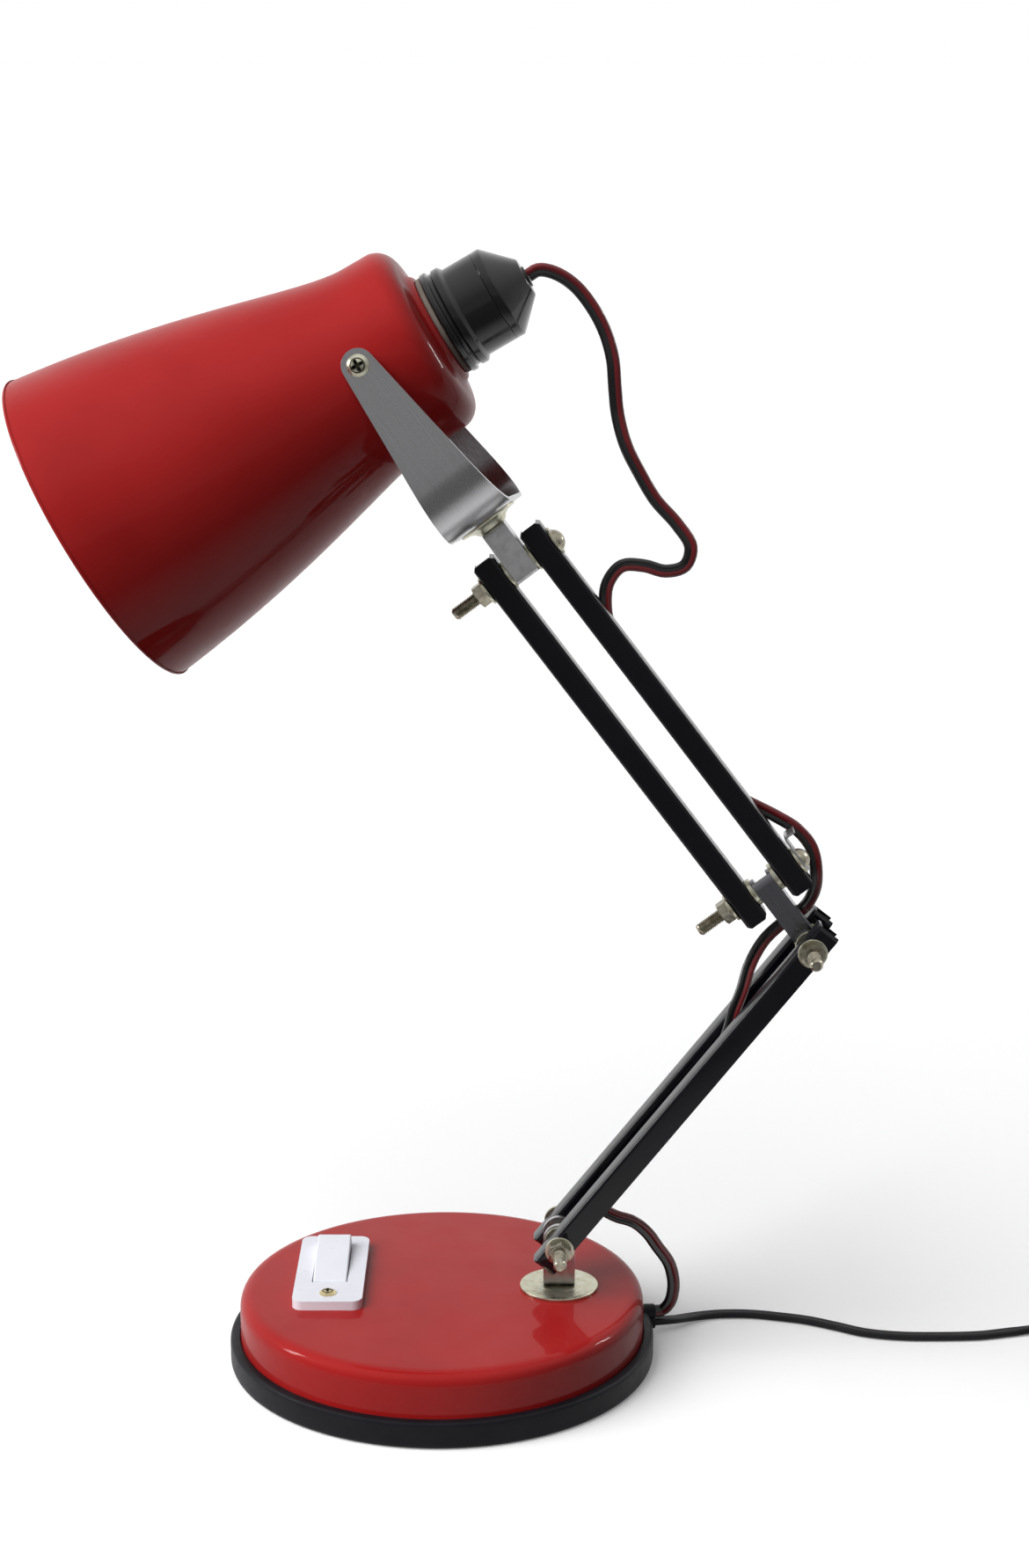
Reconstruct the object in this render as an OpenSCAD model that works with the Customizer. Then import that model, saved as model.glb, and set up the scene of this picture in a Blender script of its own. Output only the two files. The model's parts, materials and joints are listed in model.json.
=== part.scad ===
// Desk lamp on a weighted round base: twin-bar lower and upper arms joined by a folded
// elbow bracket, a swivelling yoke and a flared metal shade. Millimetres, +Z up, the
// origin at the centre of the rubber foot's underside. The arms stand in the XZ plane.

/* [Base] */
// Diameter of the rubber foot
foot_d = 163; // [150:1:180]
// Height of the rubber foot's wall
foot_h = 10.5; // [8:0.5:14]
// Thickness of the rubber foot's floor
foot_floor = 2.5; // [2:0.5:4]
// Width of the foot's rim outside the cover
foot_rim = 4; // [3:0.5:6]
// Height of the cover's top above the table
cover_top = 27.5; // [26:0.5:34]
// Radius of the cover's top edge
cover_edge = 5; // [3:0.5:7]
// Sheet thickness of the cover
cover_t = 1.4; // [1:0.1:2]
// Thickness of the steel bottom plate
plate_t = 1.5; // [1:0.25:2.5]
// Thickness of the cast iron weight
weight_h = 12; // [8:1:13]
// Radial gap between the weight and the cover
weight_gap = 5; // [4.8:0.1:8]
// Distance of the swivel post from the base's centre
post_x = 45; // [38:1:48]

/* [Switch] */
// Width of the switch's top plate
switch_w = 26.6; // [24:0.2:30]
// Length of the switch's top plate
switch_l = 62; // [60:1:66]
// Height of the top plate above the cover
switch_h = 3.7; // [3:0.1:5]
// Width of the rocker
rocker_w = 13; // [11:0.5:14]
// Radius of the rocker's end faces about its pin
rocker_r = 18.5; // [17:0.5:19]
// Radius of the rocker's pin
rocker_pin_r = 1.5; // [1.2:0.1:2]

/* [Swivel] */
// Diameter of the zinc disc under the post bracket
disc_d = 30; // [26:1:34]
// Thickness of the disc
disc_t = 2; // [1.5:0.25:3]
// Height of the lower pivot above the table
pivot_z = 48.8; // [47:0.2:54]
// Sheet thickness of the post bracket
post_bracket_t = 1.8; // [1.5:0.1:2.2]

/* [Arms] */
// Distance between the two bolts of one arm
arm_len = 150; // [130:1:170]
// Side of the square bar section
bar_w = 9; // [8:0.25:10]
// Wall thickness of the bars
bar_t = 1.2; // [1:0.1:1.6]
// Distance between the centre lines of an arm's two bars
bar_pitch = 20.8; // [19.5:0.1:22]
// Length of bar past each bolt
bar_end = 10; // [8:0.5:11]
// Distance between the elbow's two pivots
elbow_len = 28; // [26:0.5:32]
// Sheet thickness of the elbow bracket
elbow_t = 1.4; // [1.2:0.1:1.6]
// Width of the elbow bracket
elbow_w = 8.4; // [8.4:0.1:9.6]

/* [Bolts] */
// Radius of the pivot bolts
bolt_r = 2.5; // [2:0.1:2.8]
// Length of bolt past the outer washer, with the nut
bolt_past = 14.6; // [10:0.2:18]
// Radius of the bolts' domed heads
bolt_head_r = 4.2; // [4:0.1:5]
// Height of the bolts' domed heads
bolt_head_h = 2.8; // [2.5:0.1:4]
// Distance across the flats of the nuts
nut_flats = 8; // [7:0.5:10]
// Height of the nuts
nut_h = 4; // [3:0.25:5]
// Radius of the washers
washer_r = 5.5; // [5:0.25:6.5]
// Thickness of the washers
washer_t = 1; // [0.8:0.1:1.2]

/* [Head] */
// Length of the head block from its bolt to its top
block_top = 17; // [15:0.5:20]
// Length of the head block past its bolt
block_end = 5; // [4.5:0.25:6]
// Radius of the dished washer under the yoke
dish_r = 11.5; // [9:0.5:13]
// Height of the dished washer
dish_h = 3.5; // [2.5:0.25:4.5]
// Distance from the yoke's underside to the shade's pivots
yoke_len = 68.5; // [67:0.5:76]
// Distance between the yoke's inner faces
yoke_gap = 77; // [76:0.25:82]
// Sheet thickness of the yoke
yoke_t = 1.5; // [1.2:0.1:2]
// Width of the yoke at its base
yoke_base_w = 26.6; // [22:0.2:30]
// Width of the yoke at its tips
yoke_tip_w = 12; // [11:0.5:13]
// Outer bend radius of the yoke
yoke_bend = 20; // [16:0.5:22]
// Radius of the rivet that holds the yoke
rivet_r = 3; // [2.5:0.1:3.5]
// Radius of the shade's two pivot screws
shade_screw_r = 2; // [1.75:0.05:2.25]

/* [Shade] */
// Sheet thickness of the shade
shade_t = 1; // [0.8:0.1:1.2]
// Radius of the shade's neck, just behind its pivots
shade_neck_r = 35.2; // [34:0.1:35.5]
// Radius of the shade at its mouth
shade_mouth_r = 61; // [56:0.2:66]
// Distance from the pivots to the mouth
shade_front = 117; // [105:0.5:125]
// Distance from the pivots to the back face
shade_back = 28.2; // [27:0.2:30]
// Radius of the rounded shoulder
shoulder_r = 8.5; // [6:0.25:10]
// Radius of the rolled rim
rim_r = 0.9; // [0.8:0.1:1.6]
// Radius of the hole for the lampholder
holder_hole_r = 16.7; // [16.2:0.1:18]

/* [Lampholder] */
// Radius of the lampholder's body
holder_r = 17.2; // [16.8:0.1:18]
// Radius of the lampholder's flange
flange_r = 19.5; // [19:0.1:21]
// Radius of the grey gasket
gasket_r = 18.8; // [18:0.1:19.4]
// Thickness of the gasket
gasket_t = 2; // [1.5:0.25:3]
// Distance from the gasket to the cap's joint
holder_body_l = 20; // [18:0.5:23]
// Radius of the bulb's threaded cap
bulb_cap_r = 13.3; // [13.1:0.05:13.4]
// Radius of the bulb's globe
bulb_r = 30; // [25:0.5:31]

/* [Cords] */
// Width of the twin flex and of the mains lead
cord_w = 5; // [4.6:0.1:5.4]
// Thickness of the twin flex
flex_h = 2.6; // [2.4:0.1:3]
// Thickness of the mains lead
lead_h = 2.8; // [2.6:0.1:3]
// Radius of the coil's outer turn
coil_out_r = 35.8; // [35:0.1:37]
// Radial distance between the coil's turns
coil_pitch = 3.6; // [3.5:0.05:3.8]
// Height between the coil's two layers
coil_rise = 5.6; // [5.5:0.05:6]
// Turns in the coil, which end on a quarter turn
coil_turns = 9.25; // [7.25:1:9.25]

/* [Pose] */
// Angle of the lower arm above the table
lower_angle = 51.8; // [45:0.1:60]
// Angle of the upper arm, from +X towards +Z
upper_angle = 127.1; // [120:0.1:135]
// Lean of the head away from the front, about its bolt
head_lean = 8.3; // [0:0.1:15]
// Angle from the yoke's own direction to the shade's axis
shade_angle = 83; // [70:0.1:95]

/* [Hidden] */
$fn = 64;

// Clearances and small sizes
face_gap = 0.05;      // between flat faces that turn on each other
run_gap = 0.05;       // radial, between a pin and the hole that it turns in
fit_gap = 0.1;        // between pieces that are fixed together
over = 1;             // how far a cut runs past a face
thread_chamfer = 0.6; // at the ends of bolts
nut_round = 30;       // angle between a nut's corner and its flat

cover_r = foot_d / 2 - foot_rim;
cover_under = cover_top - cover_t;
weight_r = cover_r - cover_t - weight_gap;
weight_z = foot_floor + plate_t;
weight_top = weight_z + weight_h;
pad_r = 7;
pad_circle = weight_r - 13;
pad_angles = [90, 210, 330];
plate_screw_r = 2;
plate_head_r = 3.6;
plate_screw_l = 9;

stud_r = 2.5;
stud_button_r = 2.9;
stud_button_h = 1.2;
disc_z = cover_top + face_gap;
bracket_z = disc_z + disc_t;
ear_r = 6;
spring_washer_t = 1.5;
stud_past = 2.6;

block_w = bar_pitch - bar_w - 2 * washer_t - 2 * face_gap;
outer_z = bar_pitch / 2 + bar_w / 2;
tab_t = 0.8;
tab_l = 11;
tab_lip = 4.5;

switch_x = -43;
switch_y = 8.7;
switch_turn = 0;
switch_corner = 4;
switch_bevel = 1;
switch_body_w = 20.6;
switch_body_h = 10;
switch_wall = 1;
rocker_y = 5.7;
rocker_z = -1.5;
rocker_far_angle = 34;
rocker_pin_l = 2.2;
rocker_gap = 0.3;
switch_screw_y = -23.3;
switch_screw_r = 1.6;
switch_body_near = switch_screw_y - switch_screw_r - 2.4;
switch_body_far = rocker_y + rocker_r + rocker_gap + switch_wall;
switch_head_r = 3.3;
switch_head_h = 1.6;

exit_angle = 12;
boot_out = 7;
boot_root_r = 3.1;
boot_tip_r = 2.8;
boot_neck_r = 2.8;
boot_in = 4;
exit_slot_r = cover_r - cover_t - boot_in - fit_gap;
lead_exit_z = 5;
flex_exit_z = 9.4;

yoke_seat = block_top + dish_h + face_gap;
yoke_in = yoke_gap / 2;
yoke_out = yoke_in + yoke_t;
rivet_head_r = 5.5;
rivet_head_h = 2.2;
rivet_depth = 8;
screw_head_r = 4;
screw_head_h = 2.4;
spacer_r = 4.2;
shade_nut_flats = 7;
shade_nut_h = 3;

shoulder_s = -17;
waist_s = -8;
neck_pull = 18;
mouth_pull = 68.3;
mouth_drop = 8.4;
back_flat_r = 20.6;
flare_steps = 18;
shoulder_steps = 6;

gasket_s = -shade_back - gasket_t;
joint_s = gasket_s - holder_body_l;
skirt_r = holder_hole_r - 0.2;
skirt_in = bulb_cap_r + 1;
cap_l = 13.2;
cap_tip_r = 7;
collar_r = 4;
collar_l = 0.8;
shell_t = 0.6;
core_s = -33;
bulb_neck_s = -15;
bulb_centre_s = 36;
bulb_cap_t = 0.6;
glass_t = 0.9;

// Pivot points in the arms' plane
elbow_pivot = [post_x + arm_len * cos(lower_angle), 0, pivot_z + arm_len * sin(lower_angle)];

arm_dir = [cos(upper_angle), 0, sin(upper_angle)];
bolt_dir = [-sin(upper_angle), 0, cos(upper_angle)];
yoke_dir = arm_dir * cos(head_lean) + [0, sin(head_lean), 0];
shade_dir = yoke_dir * cos(shade_angle) + bolt_dir * sin(shade_angle);
shade_pivot = elbow_pivot + arm_dir * (elbow_len + arm_len) + yoke_dir * (yoke_seat + yoke_len);

// The twin flex, from the lampholder's cap to the boot in the base. Where it crosses a
// joint it is a separate stretch: the numbers below name the first point of each one.
exit_dir = [cos(exit_angle), sin(exit_angle), 0];
flex_start = shade_pivot + shade_dir * (joint_s - cap_l - collar_l - face_gap);
flex_end = exit_dir * (cover_r + boot_out) + [0, 0, flex_exit_z];
flex_route = [
    flex_start - shade_dir * 4, [42, 12, 412.3], [49, 12, 408], [55, 12, 401],
    [60, 12, 392], [63, 11, 382], [64, 11, 371], [65, 11, 362], [68, 10, 351],
    [73, 10, 341], [79, 10, 331], [87, 10, 322], [92, 9, 314], [90, 9, 307],
    [83, 9, 305], [75, 9, 307], [67, 8.5, 307], [62, 8, 301], [61, 7, 293],
    [62.5, 4.5, 285], [66, 2, 279], [70.3, 1.2, 273],
    [104.2, 1.2, 228], [107.5, 2.5, 224], [111, 6, 220.5], [117, 8, 217], [125, 7.5, 213],
    [133, 7, 208], [138.5, 7, 201], [140.5, 7, 192], [140, 7.8, 184], [136.5, 8.3, 177.5],
    [130, 8.5, 172.5], [122, 8, 165], [116.5, 5.5, 156], [113.5, 2, 147], [110.6, 0.5, 139.5],
    [106.8, 0, 127], [76, 0, 88],
    [69.5, 0, 79.5], [64, 0.2, 72], [60.6, 0.8, 64.8], [61.6, 1.3, 59.4], [66.5, 2.1, 55.8],
    [73.5, 3.3, 52.9], [79, 5, 47.6], [83, 6.8, 41.2], [87.6, 9, 33.6],
    [89.6, 11.2, 25.4], [89.6, 14.2, 18.2], [88.3, 16.6, 12.8], flex_end + exit_dir * 3];
cut_yoke = 7;
cut_head = 11;
cut_upper = 22;
cut_swing = 23;
cut_elbow = 32;
cut_lower = 38;
cut_post = 39;
cut_base = 47;

// The mains lead on the table, from the boot to the coil
lead_start = exit_dir * (cover_r + boot_out) + [0, 0, lead_exit_z];
lead_route = [
    [87, 18.8, 4.8], [91, 21.3, 4], [95, 25, 2.9], [100, 28.8, 1.9], [106.5, 31.5, 1.4],
    [115, 32.3, 1.4], [123, 31.8, 1.4], [131, 30, 1.4], [143, 26.5, 1.4], [154, 21, 1.4],
    [165, 15, 1.4], [178, 12, 1.4], [194, 11.5, 1.4], [210, 12.5, 1.4], [224, 16, 1.4],
    [238, 19, 1.6], [250, 20, 2.1]];
roll_from = 15;
coil_centre = [266, 20 - coil_out_r];
coil_z = 2.5;
coil_rings = 24;
coil_dip = 0.9;
tail_l = 25;
tail_z = 7;
plug_l = 36;
plug_h = 13.4;
plug_w = 35;
plug_root = 5.5;      // half its width where the collar ends
plug_throat = 9;      // half its width after the first slope
plug_slope = 3;
plug_swell = 22;      // where it reaches its full width
plug_edge = 1;
relief_tip_r = 5.4;
relief_l = 16;
pin_r = 2;
pin_l = 19;
pin_gap = 19;

// ---- General shapes ----

module ring(outer, inner, h) {
    difference() {
        cylinder(r = outer, h = h);
        translate([0, 0, -over]) cylinder(r = inner, h = h + 2 * over);
    }
}

module hex_nut(flats, bore, h) {
    difference() {
        cylinder(r = flats / 2 / cos(nut_round), h = h, $fn = 6);
        translate([0, 0, -over]) cylinder(r = bore + run_gap, h = h + 2 * over);
    }
}

module dome(r, h) {
    ball = (r * r + h * h) / (2 * h);
    intersection() {
        cylinder(r = r, h = h);
        translate([0, 0, h - ball]) sphere(r = ball);
    }
}

module rounded_plate(w, l, r, h) {
    linear_extrude(h) union() {
        square([w - 2 * r, l], center = true);
        square([w, l - 2 * r], center = true);
        for (x = [-1, 1], y = [-1, 1])
            translate([x * (w / 2 - r), y * (l / 2 - r)]) circle(r = r, $fn = 32);
    }
}

// ---- Places of the moving groups ----

module at_post() { translate([post_x, 0, 0]) children(); }
module at_lower() { translate([post_x, 0, pivot_z]) rotate([0, -lower_angle, 0]) children(); }
module at_upper() { translate(elbow_pivot) rotate([0, -upper_angle, 0]) children(); }
module at_head() {
    at_upper() translate([elbow_len + arm_len, 0, 0]) rotate([0, 0, head_lean]) children();
}
module at_shade() {
    at_head() translate([yoke_seat + yoke_len, 0, 0]) rotate([0, 90 - shade_angle, 0]) children();
}
module at_switch() { translate([switch_x, switch_y, cover_top]) rotate([0, 0, switch_turn]) children(); }
module at_exit() { rotate([0, 0, exit_angle]) children(); }

// ---- Tubes swept along points ----

function unit(v) = v / norm(v);
function along(p, i) = unit(p[min(i + 1, len(p) - 1)] - p[max(i - 1, 0)]);
function flat_ring(p, i, ref, w, h, sides, roll) =
    let (t = along(p, i), s = unit(cross(t, ref)), u = cross(s, t))
    [for (k = [0 : sides - 1])
        let (a = 360 * k / sides, x = w / 2 * cos(a), y = h / 2 * sin(a))
        p[i] + (x * cos(roll) - y * sin(roll)) * s + (x * sin(roll) + y * cos(roll)) * u];

module tube(p, first, last, ref, w, h, sides, rolls = []) {
    rings = last - first + 1;
    points = [for (i = [first : last])
        each flat_ring(p, i, ref, w, h, sides, len(rolls) > 0 ? rolls[i] : 0)];
    end = (rings - 1) * sides;
    faces = concat(
        [for (i = [0 : rings - 2], k = [0 : sides - 1])
            let (a = i * sides + k, b = i * sides + (k + 1) % sides) [a, b, b + sides]],
        [for (i = [0 : rings - 2], k = [0 : sides - 1])
            let (a = i * sides + k, b = i * sides + (k + 1) % sides) [a, b + sides, a + sides]],
        [for (k = [1 : sides - 2]) [0, k + 1, k]],
        [for (k = [1 : sides - 2]) [end, end + k, end + k + 1]]);
    polyhedron(points = points, faces = [for (f = faces) [f[0], f[2], f[1]]]);
}

// ---- Base ----

module rubber_foot() {
    color([0.12, 0.12, 0.13]) difference() {
        union() {
            cylinder(r = foot_d / 2, h = foot_h - foot_rim / 2);
            translate([0, 0, foot_h - foot_rim / 2]) rotate_extrude() union() {
                square([foot_d / 2 - foot_rim / 2, foot_rim / 2]);
                translate([foot_d / 2 - foot_rim / 2, 0]) intersection() {
                    circle(r = foot_rim / 2);
                    square(foot_rim);
                }
            }
        }
        translate([0, 0, foot_floor]) cylinder(r = cover_r + fit_gap, h = foot_h);
        at_exit() translate([exit_slot_r, -boot_root_r - fit_gap, lead_exit_z - boot_root_r - fit_gap])
            cube([foot_d / 2 + over - exit_slot_r, 2 * boot_root_r + 2 * fit_gap, foot_h]);
    }
}

module cover_section(inset) {
    r = cover_edge - inset;
    union() {
        square([cover_r - cover_edge, cover_top - foot_floor - inset]);
        square([cover_r - inset, cover_top - foot_floor - cover_edge]);
        translate([cover_r - cover_edge, cover_top - foot_floor - cover_edge]) circle(r = r);
    }
}

module base_cover() {
    color([0.72, 0.07, 0.07]) difference() {
        translate([0, 0, foot_floor]) rotate_extrude($fn = 96) difference() {
            intersection() {
                cover_section(0);
                square(2 * cover_r);
            }
            translate([0, -over]) square([cover_r - cover_edge, cover_top - foot_floor - cover_t + over]);
            translate([0, -over]) square([cover_r - cover_t, cover_top - foot_floor - cover_edge + over]);
            cover_section(cover_t);
        }
        at_post() translate([0, 0, cover_under - over])
            cylinder(r = stud_r + run_gap, h = cover_t + 2 * over);
        at_switch() translate([0, (switch_body_near + switch_body_far) / 2, -cover_t - over])
            rounded_plate(switch_body_w + 2 * fit_gap, switch_body_far - switch_body_near + 2 * fit_gap, 1,
                cover_t + 2 * over);
        at_exit() for (z = [lead_exit_z, flex_exit_z])
            translate([cover_r - cover_t - over, 0, z]) rotate([0, 90, 0])
                cylinder(r = boot_neck_r + run_gap, h = cover_t + 2 * over);
    }
}

module base_weight() {
    color([0.25, 0.25, 0.26]) difference() {
        union() {
            translate([0, 0, weight_z]) cylinder(r = weight_r, h = weight_h);
            for (a = pad_angles) rotate([0, 0, a]) translate([pad_circle, 0, weight_top - over])
                cylinder(r = pad_r, h = cover_under - weight_top + over);
        }
        for (a = pad_angles) rotate([0, 0, a]) translate([pad_circle, 0, weight_z - over])
            cylinder(r = plate_screw_r + run_gap, h = plate_screw_l + over);
    }
}

module bottom_plate() {
    color([0.6, 0.6, 0.62]) difference() {
        translate([0, 0, foot_floor]) cylinder(r = cover_r - cover_t - fit_gap, h = plate_t);
        for (a = pad_angles) rotate([0, 0, a]) translate([pad_circle, 0, foot_floor])
            cylinder(r1 = plate_head_r + run_gap, r2 = plate_screw_r + run_gap, h = plate_t);
        at_exit()
            translate([exit_slot_r, -boot_neck_r - fit_gap, foot_floor - over])
            cube([boot_in + cover_t, 2 * boot_neck_r + 2 * fit_gap, plate_t + 2 * over]);
    }
}

module plate_screws() {
    color([0.75, 0.75, 0.76]) for (a = pad_angles)
        rotate([0, 0, a]) translate([pad_circle, 0, foot_floor]) {
            cylinder(r1 = plate_head_r, r2 = plate_screw_r, h = plate_t);
            cylinder(r = plate_screw_r, h = plate_t + plate_screw_l - run_gap);
        }
}

// ---- Switch ----

module switch_plate() {
    color([0.93, 0.93, 0.92]) at_switch() difference() {
        union() {
            hull() {
                rounded_plate(switch_w, switch_l, switch_corner, switch_h - switch_bevel);
                rounded_plate(switch_w - 2 * switch_bevel, switch_l - 2 * switch_bevel,
                    switch_corner - switch_bevel, switch_h);
            }
            translate([0, (switch_body_near + switch_body_far) / 2, -switch_body_h])
                rounded_plate(switch_body_w, switch_body_far - switch_body_near, 1,
                    switch_body_h + switch_bevel);
        }
        translate([-rocker_w / 2 - rocker_gap, rocker_y - rocker_r - rocker_gap,
                switch_wall - switch_body_h])
            cube([rocker_w + 2 * rocker_gap, 2 * rocker_r + 2 * rocker_gap, switch_body_h + switch_h]);
        translate([-rocker_w / 2 - rocker_pin_l - fit_gap, rocker_y, rocker_z]) rotate([0, 90, 0])
            cylinder(r = rocker_pin_r + run_gap, h = rocker_w + 2 * rocker_pin_l + 2 * fit_gap);
        translate([0, switch_screw_y, -switch_body_h - over])
            cylinder(r = switch_screw_r + run_gap, h = switch_body_h + switch_h + 2 * over);
    }
}

module switch_rocker() {
    near = asin((switch_h - rocker_z) / rocker_r);
    color([0.95, 0.95, 0.94]) at_switch() translate([0, rocker_y, rocker_z]) {
        translate([-rocker_w / 2, 0, 0]) rotate([90, 0, 90]) linear_extrude(rocker_w) intersection() {
            circle(r = rocker_r);
            polygon([[-rocker_r * cos(near), rocker_r * sin(near)],
                [rocker_r * cos(rocker_far_angle), rocker_r * sin(rocker_far_angle)],
                [rocker_r * 1.2, rocker_r * sin(rocker_far_angle)],
                [rocker_r * 1.2, 0], [rocker_r * 0.6, -4], [-rocker_r * 0.6, -4], [-rocker_r * 1.2, 0],
                [-rocker_r * 1.2, rocker_r * sin(near)]]);
        }
        translate([-rocker_w / 2 - rocker_pin_l, 0, 0]) rotate([0, 90, 0])
            cylinder(r = rocker_pin_r, h = rocker_w + 2 * rocker_pin_l);
    }
}

module switch_screw() {
    color([0.72, 0.6, 0.3]) at_switch() translate([0, switch_screw_y, 0]) {
        translate([0, 0, -switch_body_h]) cylinder(r = switch_screw_r, h = switch_body_h + switch_h);
        translate([0, 0, switch_h]) dome(switch_head_r, switch_head_h);
    }
}

module cable_boot() {
    color([0.1, 0.1, 0.11]) at_exit() for (z = [lead_exit_z, flex_exit_z]) {
        translate([cover_r - cover_t - boot_in, 0, z]) rotate([0, 90, 0])
            cylinder(r = boot_neck_r, h = boot_in + cover_t + over);
        translate([cover_r + fit_gap + 0.3, 0, z]) rotate([0, 90, 0])
            cylinder(r1 = boot_root_r, r2 = boot_tip_r, h = boot_out - fit_gap - 0.3);
    }
}

// ---- Mains lead, coil and plug ----

coil_half = coil_turns / 2;
coil_steps = round(coil_turns * coil_rings);
coil_in_r = coil_out_r - coil_pitch * coil_half;
// The spiral runs in on the lower layer and out on the upper one; while it climbs,
// in half a turn about its middle, it keeps coil_dip inside the innermost turn
function coil_r(n) = let (u = abs(n - coil_half)) u >= 0.5 ? coil_in_r + coil_pitch * u
    : coil_in_r - coil_dip + (coil_dip + coil_pitch / 2) * max(0, (u - 0.25) / 0.25);
function coil_height(n) = coil_z + coil_rise * min(1, max(0, (n - coil_half + 0.25) / 0.5));
function coil_point(n) = [coil_centre[0] + coil_r(n) * cos(90 - 360 * n),
    coil_centre[1] + coil_r(n) * sin(90 - 360 * n), coil_height(n)];
coil_first = coil_point(0);
coil_last = coil_point(coil_turns);
coil_points = concat([coil_first - [cord_w, 0, 0]],
    [for (i = [0 : coil_steps]) coil_point(i / coil_rings)],
    [coil_last - [0, cord_w, 0], coil_last - [0, 2 * cord_w, 0],
        coil_last - [0, 3 * cord_w, (coil_last[2] - tail_z) / 2],
        [coil_last[0], coil_last[1] - tail_l + cord_w, tail_z],
        [coil_last[0], coil_last[1] - tail_l, tail_z]]);
lead_points = concat([lead_start], lead_route, [coil_points[0]]);
lead_rolls = [for (i = [0 : len(lead_points) - 1])
    90 * max(0, (i - roll_from) / (len(lead_points) - 1 - roll_from))];

// Least distance between turns, less the cord's own size across them
function turn_gap(d) = max(norm([d[0], d[1]]) - lead_h, abs(d[2]) - cord_w);
function path_length(p, i = 0, sum = 0) =
    i >= len(p) - 1 ? sum : path_length(p, i + 1, sum + norm(p[i + 1] - p[i]));
coil_least = min([for (i = [0 : coil_steps - 16], j = [i + 16 : len(coil_points) - 1])
    turn_gap(coil_points[i] - coil_points[j])]);
echo("coil least gap", coil_least, "coil length", path_length(coil_points),
    "lead length", path_length(lead_points), "flex length", path_length(flex_all));

module mains_lead() {
    color([0.08, 0.08, 0.08])
        tube(lead_points, 0, len(lead_points) - 1, [0, 0, 1], cord_w, lead_h, 8, lead_rolls);
}

module mains_coil() {
    color([0.08, 0.08, 0.08])
        tube(coil_points, 0, len(coil_points) - 1, [0, 0, 1], lead_h, cord_w, 6);
}

module at_plug() {
    translate([coil_last[0], coil_last[1] - tail_l, tail_z]) rotate([90, 0, 0]) children();
}

module plug_body() {
    half = plug_w / 2;
    color([0.08, 0.08, 0.08]) at_plug() {
        cylinder(r1 = cord_w / 2 + 0.6, r2 = relief_tip_r, h = relief_l);
        translate([0, 0, relief_l]) rotate([90, 0, 0])
            translate([0, 0, -plug_h / 2]) linear_extrude(plug_h) polygon([
                [-plug_root, 0], [-plug_throat, plug_slope], [-half, plug_swell],
                [-half, plug_l - plug_edge], [plug_edge - half, plug_l],
                [half - plug_edge, plug_l], [half, plug_l - plug_edge],
                [half, plug_swell], [plug_throat, plug_slope], [plug_root, 0]]);
    }
}

module plug_pins() {
    color([0.78, 0.78, 0.78]) at_plug() for (x = [-1, 1])
        translate([x * pin_gap / 2, 0, relief_l + plug_l]) {
            cylinder(r = pin_r, h = pin_l - pin_r);
            translate([0, 0, pin_l - pin_r]) cylinder(r1 = pin_r, r2 = pin_r / 2, h = pin_r);
        }
}

// ---- Swivel ----

module swivel_disc() {
    color([0.66, 0.66, 0.45]) at_post() translate([0, 0, disc_z]) difference() {
        union() {
            cylinder(r = disc_d / 2, h = disc_t / 2);
            translate([0, 0, disc_t / 2])
                cylinder(r1 = disc_d / 2, r2 = disc_d / 2 - disc_t / 2, h = disc_t / 2);
        }
        translate([0, 0, -over]) cylinder(r = stud_r + run_gap, h = disc_t + 2 * over);
    }
}

module post_bracket() {
    color([0.68, 0.69, 0.7]) at_post() difference() {
        intersection() {
            translate([-ear_r, -block_w / 2, bracket_z])
                cube([2 * ear_r, block_w, pivot_z + ear_r - bracket_z]);
            union() {
                translate([-ear_r, -block_w / 2, bracket_z]) cube([2 * ear_r, block_w, pivot_z - bracket_z]);
                translate([0, block_w / 2, pivot_z]) rotate([90, 0, 0]) cylinder(r = ear_r, h = block_w);
            }
        }
        translate([-ear_r - over, -block_w / 2 + post_bracket_t, bracket_z + post_bracket_t])
            cube([2 * ear_r + 2 * over, block_w - 2 * post_bracket_t, 2 * pivot_z]);
        translate([0, block_w, pivot_z]) rotate([90, 0, 0]) cylinder(r = bolt_r + run_gap, h = 2 * block_w);
        translate([0, 0, bracket_z - over]) cylinder(r = stud_r + run_gap, h = 3 * over + post_bracket_t);
    }
}

module swivel_stud() {
    low = cover_under - spring_washer_t - nut_h - stud_past;
    color([0.7, 0.7, 0.5]) at_post() {
        translate([0, 0, low]) cylinder(r = stud_r, h = bracket_z + post_bracket_t - low);
        translate([0, 0, bracket_z + post_bracket_t]) dome(stud_button_r, stud_button_h);
    }
}

module swivel_washer() {
    color([0.6, 0.6, 0.6]) at_post() translate([0, 0, cover_under - face_gap - spring_washer_t])
        ring(washer_r, stud_r + run_gap, spring_washer_t);
}

module swivel_nut() {
    color([0.7, 0.7, 0.5]) at_post() translate([0, 0, cover_under - face_gap - spring_washer_t - nut_h])
        hex_nut(nut_flats, stud_r, nut_h);
}

// ---- Arms ----

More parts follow.
